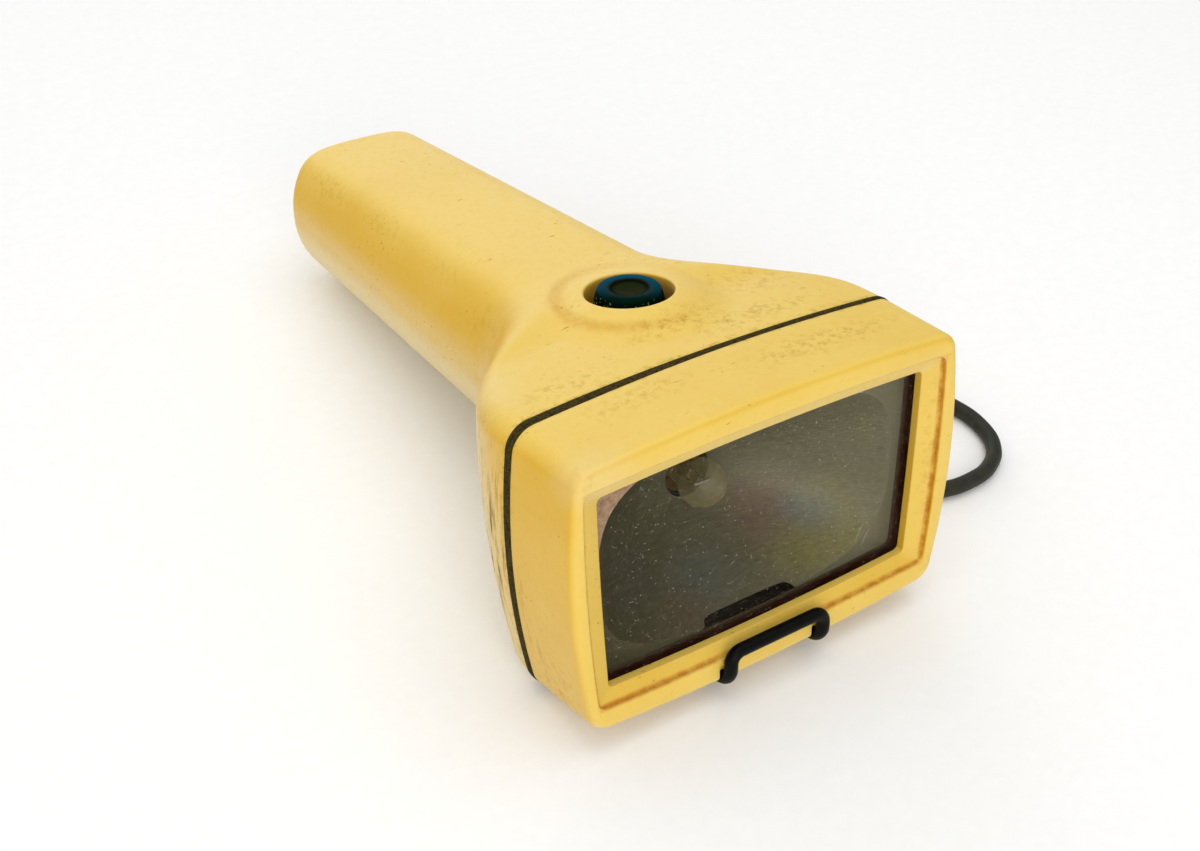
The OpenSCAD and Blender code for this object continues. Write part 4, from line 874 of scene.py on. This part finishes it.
# Seal between bezel and body, pressed out a little round the seam
sealProfile = [(28.75, 2.8), (26.35, 2.8), (26.35, 0.75), (26.0, 0.03), (26.3, -0.1), (26.9, -0.17), (27.55, -0.2),
               (28.2, -0.17), (28.8, -0.1), (29.1, 0.04), (28.75, 0.75)]
rows = [[(px, mix(py, head["seam"], seamCut["seal"] * seamNarrow(px)), pz) for px, py, pz in ring(y, inset)]
        for y, inset in sealProfile]
gasket = ringPiece("SealGasket", rows, smoothAngle["rubber"])
pressFlat(gasket)
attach(gasket, "body")
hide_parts("seal_gasket")
dress(gasket, gasketRubber)

# Bail of coated wire: the corners of one half and the radius of the bend at each
bailSize = dict(r=1.93, x=pin["x"], pinEnd=4.2, bends=[0, 2.4, 4, 5.4, 3.4])
x = bailSize["x"]
half = [(x - 3.4, 14.4, -36.6), (x, 14.4, -36.6), (x, 6.5, -41.2), (x, -2.0, -41.2), (x, -2.0, -31.1)]
corners = [Vector(p) for p in half] + [Vector((-p[0], p[1], p[2])) for p in reversed(half)]
bends = bailSize["bends"] + bailSize["bends"][::-1]
pinEnd = Vector((bailSize["pinEnd"], 0, 0))
spots = [corners[0] - pinEnd]
for k in range(1, len(corners) - 1):
    came, goes = (corners[k] - corners[k - 1]).normalized(), (corners[k + 1] - corners[k]).normalized()
    turn = came.angle(goes)
    out = came.cross(came.cross(goes).normalized())
    middle = corners[k] - came * bends[k] * math.tan(turn / 2) - out * bends[k]
    spots += [middle + bends[k] * (out * math.cos(turn * i / 10) + came * math.sin(turn * i / 10)) for i in range(11)]
spots.append(corners[-1] + pinEnd)
bail = tubePiece("Bail", [toFrame(p) for p in spots], bailSize["r"] / perMetre)
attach(bail, "bail")
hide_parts("bail")
dress(bail, coatedWire)

# Push button: a dished top, a rounded rim and a flared side
capProfile = [(0, 46.4), (2.0, 46.45), (3.8, 46.62), (4.8, 46.85), (5.5, 47.18), (6.1, 47.38), (7.6, 47.43),
              (8.3, 47.36), (8.85, 47.1), (9.15, 46.6), (9.5, 45.4), (10.0, 43.55), (10.0, 43.43), (0, 43.43)]
cap = spun("ButtonCap", capProfile, 72, (0, button["y"], 0))
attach(cap, "button")
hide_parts("button_cap")
dress(cap, greenRubber)
print("stage: small pieces")

# Cord: it leaves a socket in the side near the tail, lies on the floor and comes back to a second one
cordSize = dict(diameter=0.0052, lie=2.6)
cordFloor = [(44, 172), (46, 164), (46, 153), (45, 132), (46, 110), (48, 95), (51, 80), (56, 65), (62, 50), (68, 35),
             (74, 21), (81, 8), (88, 0), (97, -4), (108, -5), (118, -3), (127, 4), (131, 15), (130, 26), (125, 38),
             (117, 49), (107, 60), (96, 71), (86, 83), (77, 96), (70, 110), (65, 125), (61, 140), (58, 155), (55, 167),
             (51, 177), (46, 184)]
cordRoute = [(21.0, 180.26, 13.33), (27.0, 179.47, 9.2), (33.2, 178.65, 4.94), (39, 177, 2.9)]
cordRoute += [(x, y, cordSize["lie"]) for x, y in cordFloor]
cordRoute += [(39, 188, 2.8), (32.87, 188.57, 3.6), (27.0, 189.35, 7.64), (20.8, 190.17, 11.9)]
line = bpy.data.curves.new("LanyardCord", "CURVE")
line.dimensions = "3D"
line.bevel_depth, line.bevel_resolution, line.resolution_u, line.use_fill_caps = 1.0, 6, 10, True
run = line.splines.new("BEZIER")
run.bezier_points.add(len(cordRoute) - 1)
for spot, p in zip(run.bezier_points, cordRoute):
    spot.co, spot.radius = Vector(p) / perMetre, cordSize["diameter"] / 2
    spot.handle_left_type = spot.handle_right_type = "AUTO"
cord = placed("LanyardCord", line)
bpy.context.view_layer.update()
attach(cord, "body")
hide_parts("lanyard_cord")
dress(cord, cordPlastic)
print("stage: cord")

# Floor, light and camera
bpy.ops.object.select_all(action="DESELECT")
bpy.ops.mesh.primitive_plane_add(size=6, location=(0, 0, -0.0002))
floor = bpy.context.active_object
floor.name = "Floor"
dress(floor, mottled("Pale matt paper", "fafaf9", "fdfdfc", 0.9, 4.0, gloss=0.2))


def areaLight(name, place, target, size, power):
    data = bpy.data.lights.new(name, "AREA")
    data.shape, data.size, data.energy = "DISK", size, power
    lamp = placed(name, data)
    lamp.location = place
    lamp.rotation_euler = (Vector(target) - Vector(place)).to_track_quat("-Z", "Y").to_euler()


areaLight("KeyLight", (0.1, 0.1, 1.2), (0.0, 0.06, 0.03), 1.2, 4.0)
areaLight("BackSheet", (0.55, 1.9, 0.4), (0.0, 0.1, 0.05), 1.8, 9)
areaLight("FrontFill", (-0.5, -1.0, 0.5), (0.0, 0.0, 0.03), 0.9, 4.9)
# The surroundings are brighter on the left than on the right
world = bpy.data.worlds.new("Studio")
world.use_nodes = True
sky = world.node_tree
glow = addNode(sky, "SeparateXYZ", {0: addNode(sky, "TexCoord", out="Generated")}, out="X")
glow = addNode(sky, "MapRange", {"Value": glow, "From Min": -0.5, "From Max": 0.8, "To Min": 0.8, "To Max": 0.5})
fill(sky, sky.nodes["Background"], {"Strength": glow, "Color": (1, 1, 1, 1)})
bpy.context.scene.world = world
bpy.context.scene.view_settings.view_transform = "Standard"

# The photograph's camera, by its axes and its place
view = dict(sensor=36, focal=50.321, near=0.01, right=(0.8200172, -0.56611981, 0.08414359),
            up=(0.30277938, 0.55385266, 0.77561065), back=(-0.48569171, -0.61053713, 0.62557812),
            place=(-0.2444853, -0.2556059, 0.3416121))
lensData = bpy.data.cameras.new("PhotoCamera")
lensData.sensor_width, lensData.lens, lensData.clip_start = view["sensor"], view["focal"], view["near"]
camera = placed("PhotoCamera", lensData)
camera.matrix_world = Matrix([[view[key][k] for key in ("right", "up", "back", "place")] for k in range(3)]
                             + [(0, 0, 0, 1)])
bpy.context.scene.camera = camera
print("stage: floor, light and camera")
